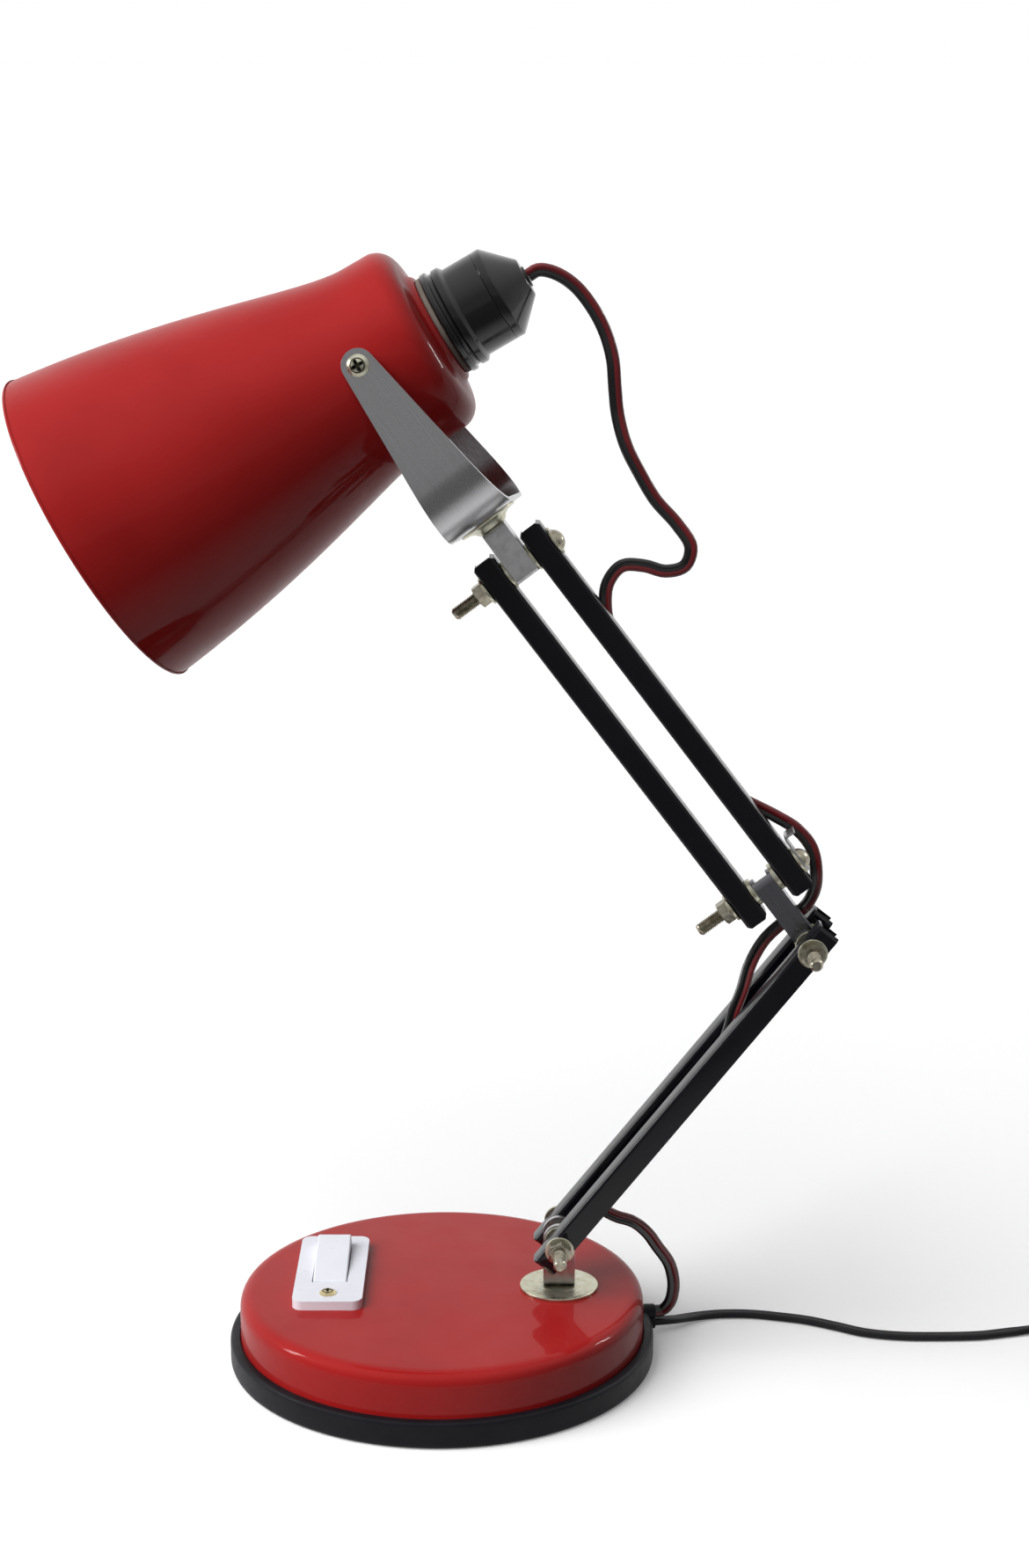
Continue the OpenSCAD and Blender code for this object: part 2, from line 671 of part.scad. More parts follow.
// One bar: a folded channel along +X, its closed side towards -Y, its bolts along Z
module bar() {
    half = bar_w / 2;
    round_r = 1.6;
    bar_corner = 2;
    difference() {
        translate([-bar_end, 0, 0]) rotate([90, 0, 90]) linear_extrude(arm_len + 2 * bar_end) difference() {
            union() {
                translate([round_r - half, -half]) square([bar_w - round_r, bar_w]);
                translate([-half, round_r - half]) square([bar_w, bar_w - 2 * round_r]);
                for (z = [-1, 1]) translate([round_r - half, z * (half - round_r)]) circle(r = round_r);
            }
            translate([bar_t - half, bar_t - half]) square([bar_w, bar_w - 2 * bar_t]);
        }
        for (x = [0, arm_len]) translate([x, 0, -bar_w])
            cylinder(r = bolt_r + run_gap, h = 2 * bar_w);
        for (x = [-bar_end, arm_len + bar_end], z = [-half, half]) translate([x, 0, z]) rotate([0, 45, 0])
            cube([bar_corner, 2 * bar_w, bar_corner], center = true);
    }
}

// A pivot bolt along +Z about its joint's centre; head_pack is what lies under the head
module pivot_bolt(head_pack = washer_t) {
    low = -outer_z - head_pack;
    high = outer_z + washer_t + bolt_past;
    translate([0, 0, low]) {
        cylinder(r = bolt_r, h = high - thread_chamfer - low);
        translate([0, 0, high - thread_chamfer - low])
            cylinder(r1 = bolt_r, r2 = bolt_r - thread_chamfer, h = thread_chamfer);
        mirror([0, 0, 1]) dome(bolt_head_r, bolt_head_h);
    }
}

// The four washers of a bolt; the inner two fill the room beside a piece of width between
module pivot_washers(between) {
    inner_t = (bar_pitch - bar_w - between) / 2 - face_gap;
    for (z = [-outer_z - washer_t, outer_z])
        translate([0, 0, z]) ring(washer_r, bolt_r + run_gap, washer_t);
    for (z = [-between / 2 - face_gap - inner_t, between / 2 + face_gap])
        translate([0, 0, z]) ring(washer_r, bolt_r + run_gap, inner_t);
}

module pivot_nut() { translate([0, 0, outer_z + washer_t]) hex_nut(nut_flats, bolt_r, nut_h); }

module at_lower_bolt(x) { at_lower() translate([x, 0, 0]) rotate([90, 0, 0]) children(); }
module at_upper_bolt(x) { at_upper() translate([elbow_len + x, 0, 0]) children(); }
module at_lower_bolts() { for (x = [0, arm_len]) at_lower_bolt(x) children(); }
module at_upper_bolts() { for (x = [0, arm_len]) at_upper_bolt(x) children(); }

module lower_bar_front() {
    color([0.06, 0.06, 0.07]) at_lower() translate([0, -bar_pitch / 2, 0]) rotate([-90, 0, 0]) bar();
}
module lower_bar_rear() {
    color([0.06, 0.06, 0.07]) at_lower() translate([0, bar_pitch / 2, 0]) rotate([-90, 0, 0]) bar();
}
module lower_bolts() { color([0.66, 0.62, 0.42]) at_lower_bolts() pivot_bolt(); }
module lower_washers() {
    color([0.68, 0.66, 0.5]) {
        at_lower_bolt(0) pivot_washers(block_w);
        at_lower_bolt(arm_len) pivot_washers(elbow_w);
    }
}
module lower_nuts() { color([0.66, 0.62, 0.42]) at_lower_bolts() pivot_nut(); }

module upper_bar_left() {
    color([0.06, 0.06, 0.07]) at_upper() translate([elbow_len, 0, bar_pitch / 2]) bar();
}
module upper_bar_right() {
    color([0.06, 0.06, 0.07]) at_upper() translate([elbow_len, 0, -bar_pitch / 2]) bar();
}
module upper_bolts() {
    color([0.66, 0.62, 0.42]) at_upper() {
        translate([elbow_len, 0, 0]) pivot_bolt(washer_t + tab_t);
        translate([elbow_len + arm_len, 0, 0]) pivot_bolt();
    }
}
module upper_washers() {
    color([0.68, 0.66, 0.5]) {
        at_upper_bolt(0) pivot_washers(elbow_w);
        at_upper_bolt(arm_len) pivot_washers(block_w);
    }
}
module upper_nuts() { color([0.66, 0.62, 0.42]) at_upper_bolts() pivot_nut(); }

module flex_tab() {
    low = -outer_z - washer_t - tab_t;
    color([0.8, 0.8, 0.8]) at_upper() translate([elbow_len, 0, low]) difference() {
        union() {
            cylinder(r = washer_r - 0.5, h = tab_t);
            translate([0, -4, 0]) cube([tab_l, 8, tab_t]);
            translate([tab_l - tab_t, -4, tab_t - tab_lip]) cube([tab_t, 8, tab_lip]);
        }
        translate([0, 0, -over]) cylinder(r = bolt_r + run_gap, h = tab_t + 2 * over);
    }
}

// The elbow: a channel open to the rear, with a folded tab behind the lower pivot
module elbow_bracket() {
    half = elbow_w / 2;
    color([0.66, 0.67, 0.69]) at_upper() difference() {
        intersection() {
            union() {
                translate([0, -half, -half]) cube([elbow_len, elbow_w, elbow_w]);
                rotate([90, 0, 0]) translate([0, 0, -half]) cylinder(r = half, h = elbow_w);
                translate([elbow_len, 0, -half]) cylinder(r = half, h = elbow_w);
            }
            translate([-half, -half, -half]) cube([elbow_len + elbow_w, elbow_w, elbow_w]);
        }
        translate([-elbow_w, elbow_t - half, elbow_t - half])
            cube([elbow_len + 2 * elbow_w, elbow_w - 2 * elbow_t, elbow_w - 2 * elbow_t]);
        translate([half + 2, elbow_t - half, elbow_t - half])
            cube([elbow_len + elbow_w, elbow_w, elbow_w - 2 * elbow_t]);
        rotate([90, 0, 0]) translate([0, 0, -elbow_w]) cylinder(r = bolt_r + run_gap, h = 2 * elbow_w);
        translate([elbow_len, 0, -elbow_w]) cylinder(r = bolt_r + run_gap, h = 2 * elbow_w);
    }
}

// ---- Head ----

module head_block() {
    half = block_w / 2;
    corner = 2;
    color([0.67, 0.68, 0.7]) at_head() difference() {
        translate([0, 0, -half]) linear_extrude(block_w) union() {
            translate([corner - block_end, -half]) square([block_top + block_end - corner, block_w]);
            translate([-block_end, corner - half]) square([block_end, block_w - 2 * corner]);
            for (y = [-1, 1]) translate([corner - block_end, y * (half - corner)]) circle(r = corner);
        }
        translate([0, 0, -block_w]) cylinder(r = bolt_r + run_gap, h = 2 * block_w);
        translate([block_top - rivet_depth, 0, 0]) rotate([0, 90, 0])
            cylinder(r = rivet_r + run_gap, h = rivet_depth + over);
    }
}

module dished_washer() {
    color([0.74, 0.73, 0.5]) at_head() translate([block_top, 0, 0]) rotate([0, 90, 0]) difference() {
        rotate_extrude() difference() {
            square([dish_r, dish_h]);
            translate([dish_r, 0]) scale([dish_r - 5.4, dish_h - 0.9]) circle(r = 1);
        }
        translate([0, 0, -over]) cylinder(r = rivet_r + run_gap, h = dish_h + 2 * over);
    }
}

module yoke_rivet() {
    color([0.74, 0.73, 0.55]) at_head() rotate([0, 90, 0]) {
        translate([0, 0, block_top - rivet_depth + run_gap])
            cylinder(r = rivet_r, h = rivet_depth + dish_h + yoke_t + 2 * face_gap);
        translate([0, 0, yoke_seat + yoke_t + face_gap]) dome(rivet_head_r, rivet_head_h);
    }
}

module bent_profile(half, bend, base) {
    union() {
        translate([base + bend, -half]) square([yoke_len + yoke_tip_w, 2 * half]);
        translate([base, bend - half]) square([bend + over, 2 * (half - bend)]);
        for (y = [-1, 1]) translate([base + bend, y * (half - bend)]) circle(r = bend);
    }
}

module yoke() {
    tip = yoke_tip_w / 2;
    taper = atan((yoke_base_w / 2 - tip) / yoke_len);
    wide = tip * cos(taper) + (yoke_len + tip * sin(taper) + over) * tan(taper);
    tip_steps = 16;
    color([0.6, 0.6, 0.62]) at_head() translate([yoke_seat, 0, 0]) difference() {
        intersection() {
            translate([0, 0, -yoke_base_w]) linear_extrude(2 * yoke_base_w) difference() {
                bent_profile(yoke_out, yoke_bend, 0);
                bent_profile(yoke_in, yoke_bend - yoke_t, yoke_t);
            }
            translate([0, yoke_out + over, 0]) rotate([90, 0, 0]) linear_extrude(2 * yoke_out + 2 * over)
                polygon(concat([[-over, -wide], [-over, wide]],
                    [for (i = [0 : tip_steps]) let (a = (90 - taper) * (1 - 2 * i / tip_steps))
                        [yoke_len + tip * cos(a), tip * sin(a)]]));
        }
        translate([yoke_len, yoke_out + over, 0]) rotate([90, 0, 0])
            cylinder(r = shade_screw_r + run_gap, h = 2 * yoke_out + 2 * over);
        translate([-over, 0, 0]) rotate([0, 90, 0]) cylinder(r = rivet_r + run_gap, h = yoke_t + 2 * over);
    }
}

// ---- Shade ----

// Along the shade, s runs from the pivots towards the mouth
function bend4(a, b, c, d, t) =
    a * pow(1 - t, 3) + 3 * b * t * pow(1 - t, 2) + 3 * c * t * t * (1 - t) + d * pow(t, 3);
function flare(t, in) = [
    bend4(shade_neck_r, shade_neck_r, shade_mouth_r - mouth_drop, shade_mouth_r, t) - in,
    bend4(waist_s, waist_s + neck_pull, shade_front - mouth_pull, shade_front, t)];
function shoulder(k, in) = let (a = -90 * (1 - k)) [
    shade_neck_r - shoulder_r + (shoulder_r - in) * cos(a),
    shoulder_s + (shoulder_r - in) * sin(a)];
function back_line(in) = concat(
    [[holder_hole_r, in - shade_back], [back_flat_r, in - shade_back]],
    [for (i = [0 : shoulder_steps]) shoulder(i / shoulder_steps, in)],
    [flare(0, in)]);
function flare_line(in) = [for (i = [0 : flare_steps]) flare(i / flare_steps, in)];
function wall(outer, inner) = concat(outer, [for (i = [len(inner) - 1 : -1 : 0]) inner[i]]);

// The spun shade is in two nodes, which meet face to face at the waist
module shade() {
    color([0.75, 0.07, 0.07]) at_shade() difference() {
        rotate_extrude($fn = 96) union() {
            polygon(wall(flare_line(0), flare_line(shade_t)));
            translate([shade_mouth_r - shade_t / 2, shade_front]) circle(r = rim_r, $fn = 24);
        }
        translate([0, 2 * shade_neck_r, 0]) rotate([90, 0, 0])
            cylinder(r = shade_screw_r + run_gap, h = 4 * shade_neck_r);
    }
}

module shade_back() {
    color([0.75, 0.07, 0.07]) at_shade() rotate_extrude($fn = 96)
        polygon(wall(back_line(0), back_line(shade_t)));
}

// The shade's outer radius beside a washer of radius spacer_r, with a little room
seat_y = shade_neck_r + 1.75;
nut_y = shade_neck_r - shade_t - 0.35;

module shade_screws() {
    color([0.72, 0.7, 0.55]) at_shade() for (a = [-90, 90]) rotate([a, 0, 0]) {
        translate([0, 0, nut_y - shade_nut_h - 1])
            cylinder(r = shade_screw_r, h = yoke_out - nut_y + shade_nut_h + 1);
        translate([0, 0, yoke_out + face_gap]) dome(screw_head_r, screw_head_h);
        translate([0, 0, yoke_out - over]) cylinder(r = shade_screw_r, h = over + face_gap);
    }
}

module shade_washers() {
    color([0.6, 0.6, 0.6]) at_shade() for (a = [-90, 90]) rotate([a, 0, 0])
        translate([0, 0, seat_y]) ring(spacer_r, shade_screw_r + run_gap, yoke_in - seat_y - face_gap);
}

module shade_nuts() {
    color([0.7, 0.68, 0.5]) at_shade() for (a = [-90, 90]) rotate([a, 0, 0])
        translate([0, 0, nut_y - shade_nut_h]) hex_nut(shade_nut_flats, shade_screw_r, shade_nut_h);
}

// ---- Lampholder and bulb ----

module gasket_ring() {
    color([0.5, 0.48, 0.46]) at_shade() translate([0, 0, gasket_s])
        ring(gasket_r, skirt_r + run_gap, gasket_t);
}

module holder_body() {
    color([0.08, 0.08, 0.09]) at_shade() rotate_extrude() polygon([
        [skirt_in, -13], [skirt_r, -13], [skirt_r, gasket_s], [flange_r - 0.6, gasket_s],
        [flange_r, gasket_s - 0.6], [flange_r, gasket_s - 1.8], [flange_r - 0.6, gasket_s - 2.4],
        [flange_r - 1.3, gasket_s - 2.7], [flange_r - 1.3, gasket_s - 3.7], [flange_r - 0.7, gasket_s - 4.5],
        [flange_r - 0.7, gasket_s - 6.6], [flange_r - 1.4, gasket_s - 7.5], [holder_r, gasket_s - 8.3],
        [holder_r, joint_s + 0.4], [holder_r - 0.4, joint_s], [skirt_in, joint_s]]);
}

module holder_cap() {
    top_s = joint_s - cap_l;
    color([0.07, 0.07, 0.08]) at_shade() rotate_extrude() polygon([
        [skirt_in, joint_s], [holder_r - 0.4, joint_s], [holder_r, joint_s - 0.4], [holder_r, joint_s - 2.6],
        [holder_r - 0.9, joint_s - 3.6], [cap_tip_r + 0.6, top_s + 0.6], [cap_tip_r, top_s],
        [collar_r, top_s], [collar_r - 0.4, top_s - collar_l], [0, top_s - collar_l],
        [0, top_s + 2], [cap_tip_r - 1, top_s + 2], [skirt_in, joint_s - 4]]);
}

module shade_ring() {
    color([0.09, 0.09, 0.1]) at_shade() translate([0, 0, shade_t - shade_back + run_gap])
        ring(flange_r, skirt_r + run_gap, 7);
}

module holder_core() {
    color([0.9, 0.88, 0.82]) at_shade() translate([0, 0, joint_s + 4])
        cylinder(r = skirt_in - fit_gap, h = core_s - joint_s - 4);
}

module threaded_shell() {
    color([0.8, 0.65, 0.3]) at_shade() translate([0, 0, core_s])
        ring(skirt_in - fit_gap, skirt_in - fit_gap - shell_t, 16);
}

module bulb_cap() {
    color([0.78, 0.76, 0.7]) at_shade() {
        translate([0, 0, core_s]) cylinder(r = 4.5, h = 2);
        translate([0, 0, core_s + 2]) cylinder(r1 = 8, r2 = bulb_cap_r, h = 3);
        translate([0, 0, core_s + 5]) difference() {
            cylinder(r = bulb_cap_r, h = bulb_neck_s - core_s - 5);
            translate([0, 0, bulb_cap_t]) cylinder(r = bulb_cap_r - bulb_cap_t, h = bulb_neck_s - core_s);
        }
    }
}

module bulb_section(in) {
    neck_r = bulb_cap_r - 0.3;
    union() {
        translate([0, bulb_centre_s]) circle(r = bulb_r - in);
        polygon([[0, bulb_neck_s], [neck_r - in, bulb_neck_s], [neck_r - in, bulb_neck_s + 6],
            [neck_r + 2.5 - in, bulb_neck_s + 16],
            [(bulb_r - in) * cos(30), bulb_centre_s - (bulb_r - in) * sin(30)], [0, bulb_centre_s]]);
    }
}

module bulb_glass() {
    color([0.95, 0.95, 0.92]) at_shade() rotate_extrude() intersection() {
        difference() {
            bulb_section(0);
            bulb_section(glass_t);
        }
        translate([0, bulb_neck_s]) square([bulb_r, 4 * bulb_r]);
    }
}

// ---- Twin flex ----

flex_all = concat([flex_start], flex_route, [flex_end]);
flex_last = len(flex_all) - 1;
module flex(first, last) {
    color([0.45, 0.06, 0.06]) tube(flex_all, first, last, [0, 1, 0], cord_w, flex_h, 8);
}

module flex_shade() { flex(0, cut_yoke); }
module flex_yoke() { flex(cut_yoke, cut_head); }
module flex_head() { flex(cut_head, cut_upper); }
module flex_upper() { flex(cut_upper, cut_swing); }
module flex_swing() { flex(cut_swing, cut_elbow); }
module flex_elbow() { flex(cut_elbow, cut_lower); }
module flex_lower() { flex(cut_lower, cut_post); }
module flex_post() { flex(cut_post, cut_base); }
module flex_base() { flex(cut_base, flex_last); }

rubber_foot();
base_cover();
base_weight();
bottom_plate();
plate_screws();
switch_plate();
switch_rocker();
switch_screw();
cable_boot();
mains_lead();
mains_coil();
plug_body();
plug_pins();
swivel_disc();
post_bracket();
swivel_stud();
swivel_washer();
swivel_nut();
lower_bar_front();
lower_bar_rear();
lower_bolts();
lower_washers();
lower_nuts();
elbow_bracket();
upper_bar_left();
upper_bar_right();
upper_bolts();
upper_washers();
upper_nuts();
flex_tab();
head_block();
dished_washer();
yoke_rivet();
yoke();
shade();
shade_back();
shade_screws();
shade_washers();
shade_nuts();
gasket_ring();
holder_body();
holder_cap();
shade_ring();
holder_core();
threaded_shell();
bulb_glass();
bulb_cap();
flex_shade();
flex_yoke();
flex_head();
flex_upper();
flex_swing();
flex_elbow();
flex_lower();
flex_post();
flex_base();
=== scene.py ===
"""Desk lamp: the finished look of each part, the cords, the camera and the studio.

Lengths are in millimetres in the tables of sizes below and turn into Blender's metres
where a mesh is made. Each group is built in its own frame, which comes from the joints.
"""
import json
import math

import bmesh
import bpy
from mathutils import Matrix, Vector


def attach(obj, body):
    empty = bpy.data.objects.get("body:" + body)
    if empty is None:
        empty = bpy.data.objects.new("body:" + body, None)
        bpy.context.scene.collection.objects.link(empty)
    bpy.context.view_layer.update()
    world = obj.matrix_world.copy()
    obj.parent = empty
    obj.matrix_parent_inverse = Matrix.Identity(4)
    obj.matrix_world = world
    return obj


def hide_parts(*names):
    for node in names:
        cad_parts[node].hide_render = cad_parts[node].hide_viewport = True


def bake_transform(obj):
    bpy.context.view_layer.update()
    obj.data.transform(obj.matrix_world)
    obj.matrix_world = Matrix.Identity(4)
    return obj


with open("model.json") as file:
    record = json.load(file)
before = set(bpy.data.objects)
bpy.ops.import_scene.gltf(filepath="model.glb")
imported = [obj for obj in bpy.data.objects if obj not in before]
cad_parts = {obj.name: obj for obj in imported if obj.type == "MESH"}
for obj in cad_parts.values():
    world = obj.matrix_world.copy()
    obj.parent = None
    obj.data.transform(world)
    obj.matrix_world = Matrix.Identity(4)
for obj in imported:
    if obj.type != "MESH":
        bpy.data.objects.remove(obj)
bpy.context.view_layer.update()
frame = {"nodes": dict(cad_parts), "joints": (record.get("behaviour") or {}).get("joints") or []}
MM = 0.001

# ---- sizes, in mm
FOOT_R, FOOT_H = 81.5, 10.5
COVER_R, COVER_TOP, COVER_EDGE, COVER_T, COVER_LOW = 77.5, 27.5, 5.0, 1.4, 6.5
POST_X, PIVOT_Z = 45.0, 48.8
DISC_R, DISC_H, DISC_Z = 15.0, 2.0, 27.55
FORK_T, EAR_R, FORK_BEND = 1.8, 6.0, 1.6
STUD_HEAD_R, STUD_HEAD_H = 2.9, 1.2
FACE_GAP, RUN_GAP = 0.05, 0.05

SWITCH_AT = (-43.0, 8.7)
SWITCH_W, SWITCH_L, SWITCH_H, SWITCH_ROUND = 26.6, 62.0, 3.7, 4.0
WELL_GAP, WELL_ROUND, WELL_LOW = 0.6, 0.4, -8.0
ROCKER_W, ROCKER_R, ROCKER_Y, ROCKER_Z = 13.0, 18.5, 5.7, -1.5
ROCKER_FAR, ROCKER_LOW = 34.0, 5.72958  # degrees
SWITCH_SCREW_Y, SWITCH_HEAD_R, SWITCH_HEAD_H, SWITCH_SHAFT_R = -23.3, 3.3, 1.6, 1.6

ARM, ELBOW = 150.0, 28.0
BAR, BAR_WALL, BAR_PITCH, BAR_END, BAR_ROUND = 9.0, 1.2, 20.8, 10.0, 1.6
BLOCK_W = BAR_PITCH - BAR - 2.0 - 2 * FACE_GAP
ELBOW_W, ELBOW_T = 8.4, 1.4
BOLT_R, BOLT_PAST, HEAD_R, HEAD_H = 2.5, 14.6, 4.2, 2.8
NUT_FLATS, NUT_H, WASHER_R, WASHER_T = 8.0, 4.0, 5.5, 1.0
THREAD_PITCH, THREAD_DEPTH = 0.8, 0.42
OUTER = BAR_PITCH / 2 + BAR / 2
TAB_T, TAB_L, TAB_LIP, TAB_W, TAB_BACK = 0.8, 11.0, 4.5, 8.0, 5.0

BLOCK_TOP, BLOCK_END, BLOCK_ROUND, DISH_R, DISH_H = 17.0, 5.0, 1.6, 11.5, 3.5
RIVET_R, RIVET_HEAD_R, RIVET_HEAD_H = 3.0, 5.5, 2.2
YOKE_LEN, YOKE_GAP, YOKE_T, YOKE_BASE, YOKE_TIP, YOKE_BEND = 68.5, 77.0, 1.5, 26.6, 12.0, 20.0
YOKE_SEAT = BLOCK_TOP + DISH_H + FACE_GAP
YOKE_OUT = YOKE_GAP / 2 + YOKE_T

SHADE_T, NECK_R, MOUTH_R, FRONT, BACK = 1.0, 35.2, 61.0, 117.0, 28.2
SHOULDER_R, SHOULDER_S, WAIST_S = 8.5, -17.0, -8.0
NECK_PULL, MOUTH_PULL, MOUTH_DROP = 18.0, 68.3, 8.4
BACK_FLAT_R, HOLE_R, BEAD_R = 20.6, 16.7, 0.9
SHADE_ANGLE = 83.0
SHADE_HEAD_R, SHADE_HEAD_H, SHADE_SHAFT_R, SHADE_SHAFT_PAST = 4.0, 2.4, 2.0, 4.0
SPACER_R, SHADE_NUT_FLATS, SHADE_NUT_H = 4.2, 7.0, 3.0
SPACER_SEAT, NUT_SEAT = NECK_R + 1.75, NECK_R - SHADE_T - 0.35

GASKET_R, GASKET_T, HOLDER_R, FLANGE_R, HOLDER_L, CAP_L = 18.8, 2.0, 17.2, 19.5, 20.0, 13.2
GASKET_S = -BACK - GASKET_T
JOINT_S = GASKET_S - HOLDER_L
CAP_S = JOINT_S - CAP_L
CAP_TIP_R, COLLAR_R, COLLAR_L = 7.0, 4.0, 0.8
RING_H, GRIP_EVERY, GRIP_WIDE, GRIP_DEPTH = 7.0, 15, 5, 0.97
BULB_CAP_R, BULB_R, BULB_S, NECK_S = 13.3, 30.0, 36.0, -15.0

CORD_W, FLEX_H, LEAD_H = 5.0, 2.6, 2.8
EXIT_ANGLE, BOOT_OUT, BOOT_ROOT, BOOT_TIP = 12.0, 7.0, 3.1, 2.8
LEAD_Z, FLEX_Z = 5.0, 9.4
COIL_R, COIL_PITCH, COIL_RISE, COIL_TURNS, COIL_Z, COIL_DIP = 35.8, 3.6, 5.6, 9.25, 2.5, 0.9
COIL_STEPS = 24
TAIL_L, TAIL_Z = 25.0, 7.0
PLUG_L, RELIEF_L = 36.0, 16.0
PIN_R, PIN_L, PIN_GAP = 2.0, 19.0, 19.0
FINE = 160  # sides of the widest turned pieces


# ---- frames of the groups
JOINT = {j["name"]: j for j in frame["joints"]}


def joint_point(name):
    return Vector(JOINT[name]["pos_m"])


def joint_axis(name):
    return Vector(JOINT[name]["axis"]).normalized()


def basis(origin, x, z):
    """A frame at origin with those X and Z directions, which are at right angles."""
    y = z.cross(x)
    m = Matrix((x, y, z)).transposed().to_4x4()
    m.translation = origin
    return m


def polar(r, degrees):
    return r * math.cos(math.radians(degrees)), r * math.sin(math.radians(degrees))


WORLD = Matrix.Identity(4)
POST = Matrix.Translation((POST_X * MM, 0, 0))
Y_AXIS = Vector((0, 1, 0))
_arm = (joint_point("elbow_bend") - joint_point("lower_tilt")).normalized()
LOWER = basis(joint_point("lower_tilt"), _arm, _arm.cross(Y_AXIS))
_swing = joint_axis("upper_swing")
UPPER = basis(joint_point("elbow_bend"), Y_AXIS.cross(_swing), _swing)
HEAD = basis(joint_point("head_pivot"), joint_axis("yoke_swivel"), joint_axis("head_pivot"))
_up = HEAD.to_3x3() @ Vector((1, 0, 0))
_side = HEAD.to_3x3() @ Vector((0, 0, 1))
_cos, _sin = polar(1.0, SHADE_ANGLE)
_axis = _up * _cos + _side * _sin
SHADE = basis(joint_point("shade_tilt"), (HEAD.to_3x3() @ Y_AXIS).cross(_axis), _axis)
SWITCH = Matrix.Translation((SWITCH_AT[0] * MM, SWITCH_AT[1] * MM, COVER_TOP * MM))


def shifted(m, x=0.0, y=0.0, z=0.0):
    """The frame m moved by x, y, z millimetres along its own axes."""
    return m @ Matrix.Translation((x * MM, y * MM, z * MM))


def turned(m, degrees, axis):
    return m @ Matrix.Rotation(math.radians(degrees), 4, axis)


# ---- materials
def math_node(tree, operation, a, b):
    """b is an output to link, or a number."""
    made = tree.nodes.new("ShaderNodeMath")
    made.operation = operation
    tree.links.new(a, made.inputs[0])
    if isinstance(b, float):
        made.inputs[1].default_value = b
    else:
        tree.links.new(b, made.inputs[1])
    return made.outputs[0]


def range_node(tree, source, from_low, from_high, low, high):
    made = tree.nodes.new("ShaderNodeMapRange")
    for name, value in (("From Min", from_low), ("From Max", from_high), ("To Min", low),
                        ("To Max", high)):
        made.inputs[name].default_value = value
    tree.links.new(source, made.inputs["Value"])
    return made.outputs["Result"]


class Surface:
    """A Principled material and short ways to add nodes to it."""

    def __init__(self, name):
        self.mat = bpy.data.materials.new(name)
        self.mat.use_nodes = True
        self.tree = self.mat.node_tree
        self.shader = self.tree.nodes["Principled BSDF"]
        self.coords = self.node("ShaderNodeTexCoord").outputs["Object"]

    def node(self, kind, **values):
        made = self.tree.nodes.new(kind)
        for key, value in values.items():
            if hasattr(made, key):
                setattr(made, key, value)
            else:
                made.inputs[key.replace("_", " ")].default_value = value
        return made

    def link(self, a, b):
        self.tree.links.new(a, b)

    def set(self, **values):
        for key, value in values.items():
            self.shader.inputs[key.replace("_", " ")].default_value = value
        return self

    def noise(self, scale, detail=3.0, stretch=(1, 1, 1)):
        """Noise whose grain is 1/scale millimetres, drawn out along an axis by stretch."""
        mapping = self.node("ShaderNodeMapping")
        mapping.inputs["Scale"].default_value = [1000 * scale * s for s in stretch]
        self.link(self.coords, mapping.inputs["Vector"])
        made = self.node("ShaderNodeTexNoise", Scale=1.0, Detail=detail, Roughness=0.5)
        self.link(mapping.outputs["Vector"], made.inputs["Vector"])
        return made.outputs["Fac"]

    def ramp(self, source, stops, target="Base Color"):
        made = self.node("ShaderNodeValToRGB")
        while len(made.color_ramp.elements) < len(stops):
            made.color_ramp.elements.new(0.5)
        for element, (place, colour) in zip(made.color_ramp.elements, stops):
            element.position = place
            element.color = (*colour, 1)
        self.link(source, made.inputs["Fac"])
        if target:
            self.link(made.outputs["Color"], self.shader.inputs[target])
        return made.outputs["Color"]

    def rough(self, source, low, high):
        """Roughness that goes from low to high over the middle half of the source."""
        self.link(range_node(self.tree, source, 0.25, 0.75, low, high),
                  self.shader.inputs["Roughness"])

    def bump(self, *layers):
        """Each layer is (height source, height in mm)."""
        last = None
        for source, height in layers:
            made = self.node("ShaderNodeBump", Strength=1.0, Distance=height * MM)
            self.link(source, made.inputs["Height"])
            if last is not None:
                self.link(last, made.inputs["Normal"])
            last = made.outputs["Normal"]
        self.link(last, self.shader.inputs["Normal"])


COAT_ROUGH = 0.05


def enamel(name, low, mid, high, rough=0.4, coat=0.26):
    """Stoved enamel: a clear coat over pigment, with slight orange peel and fine dust."""
    s = Surface(name).set(Coat_Weight=coat, Coat_Roughness=COAT_ROUGH, IOR=1.45,
                          Specular_IOR_Level=0.06)
    s.ramp(s.noise(0.02, 4), [(0.3, low), (0.5, mid), (0.75, high)])
    s.rough(s.noise(0.06, 5), rough - 0.05, rough + 0.08)
    s.bump((s.noise(0.25, 2), 0.006), (s.noise(3.0, 2), 0.0015))
    return s.mat


def plated(name, dark, light, rough=0.3, tint=None):
    """Plated steel: mottled passivation over a fine grain."""
    s = Surface(name).set(Metallic=1.0)
    stops = [(0.25, dark), (0.6, light)]
    if tint:
        stops = [(0.2, dark), (0.45, light), (0.7, tint)]
    s.ramp(s.noise(0.35, 5), stops)
    s.rough(s.noise(0.8, 4), rough - 0.07, rough + 0.14)
    s.bump((s.noise(2.5), 0.01))
    return s.mat


def plastic(name, dark, light, rough, bump=0.004, coat=0.0, gloss=0.4):
    s = Surface(name).set(Coat_Weight=coat, Coat_Roughness=COAT_ROUGH, Specular_IOR_Level=gloss)
    s.ramp(s.noise(0.08, 4), [(0.3, dark), (0.7, light)])
    s.rough(s.noise(0.3, 4), rough - 0.04, rough + 0.06)
    s.bump((s.noise(1.2), bump))
    return s.mat


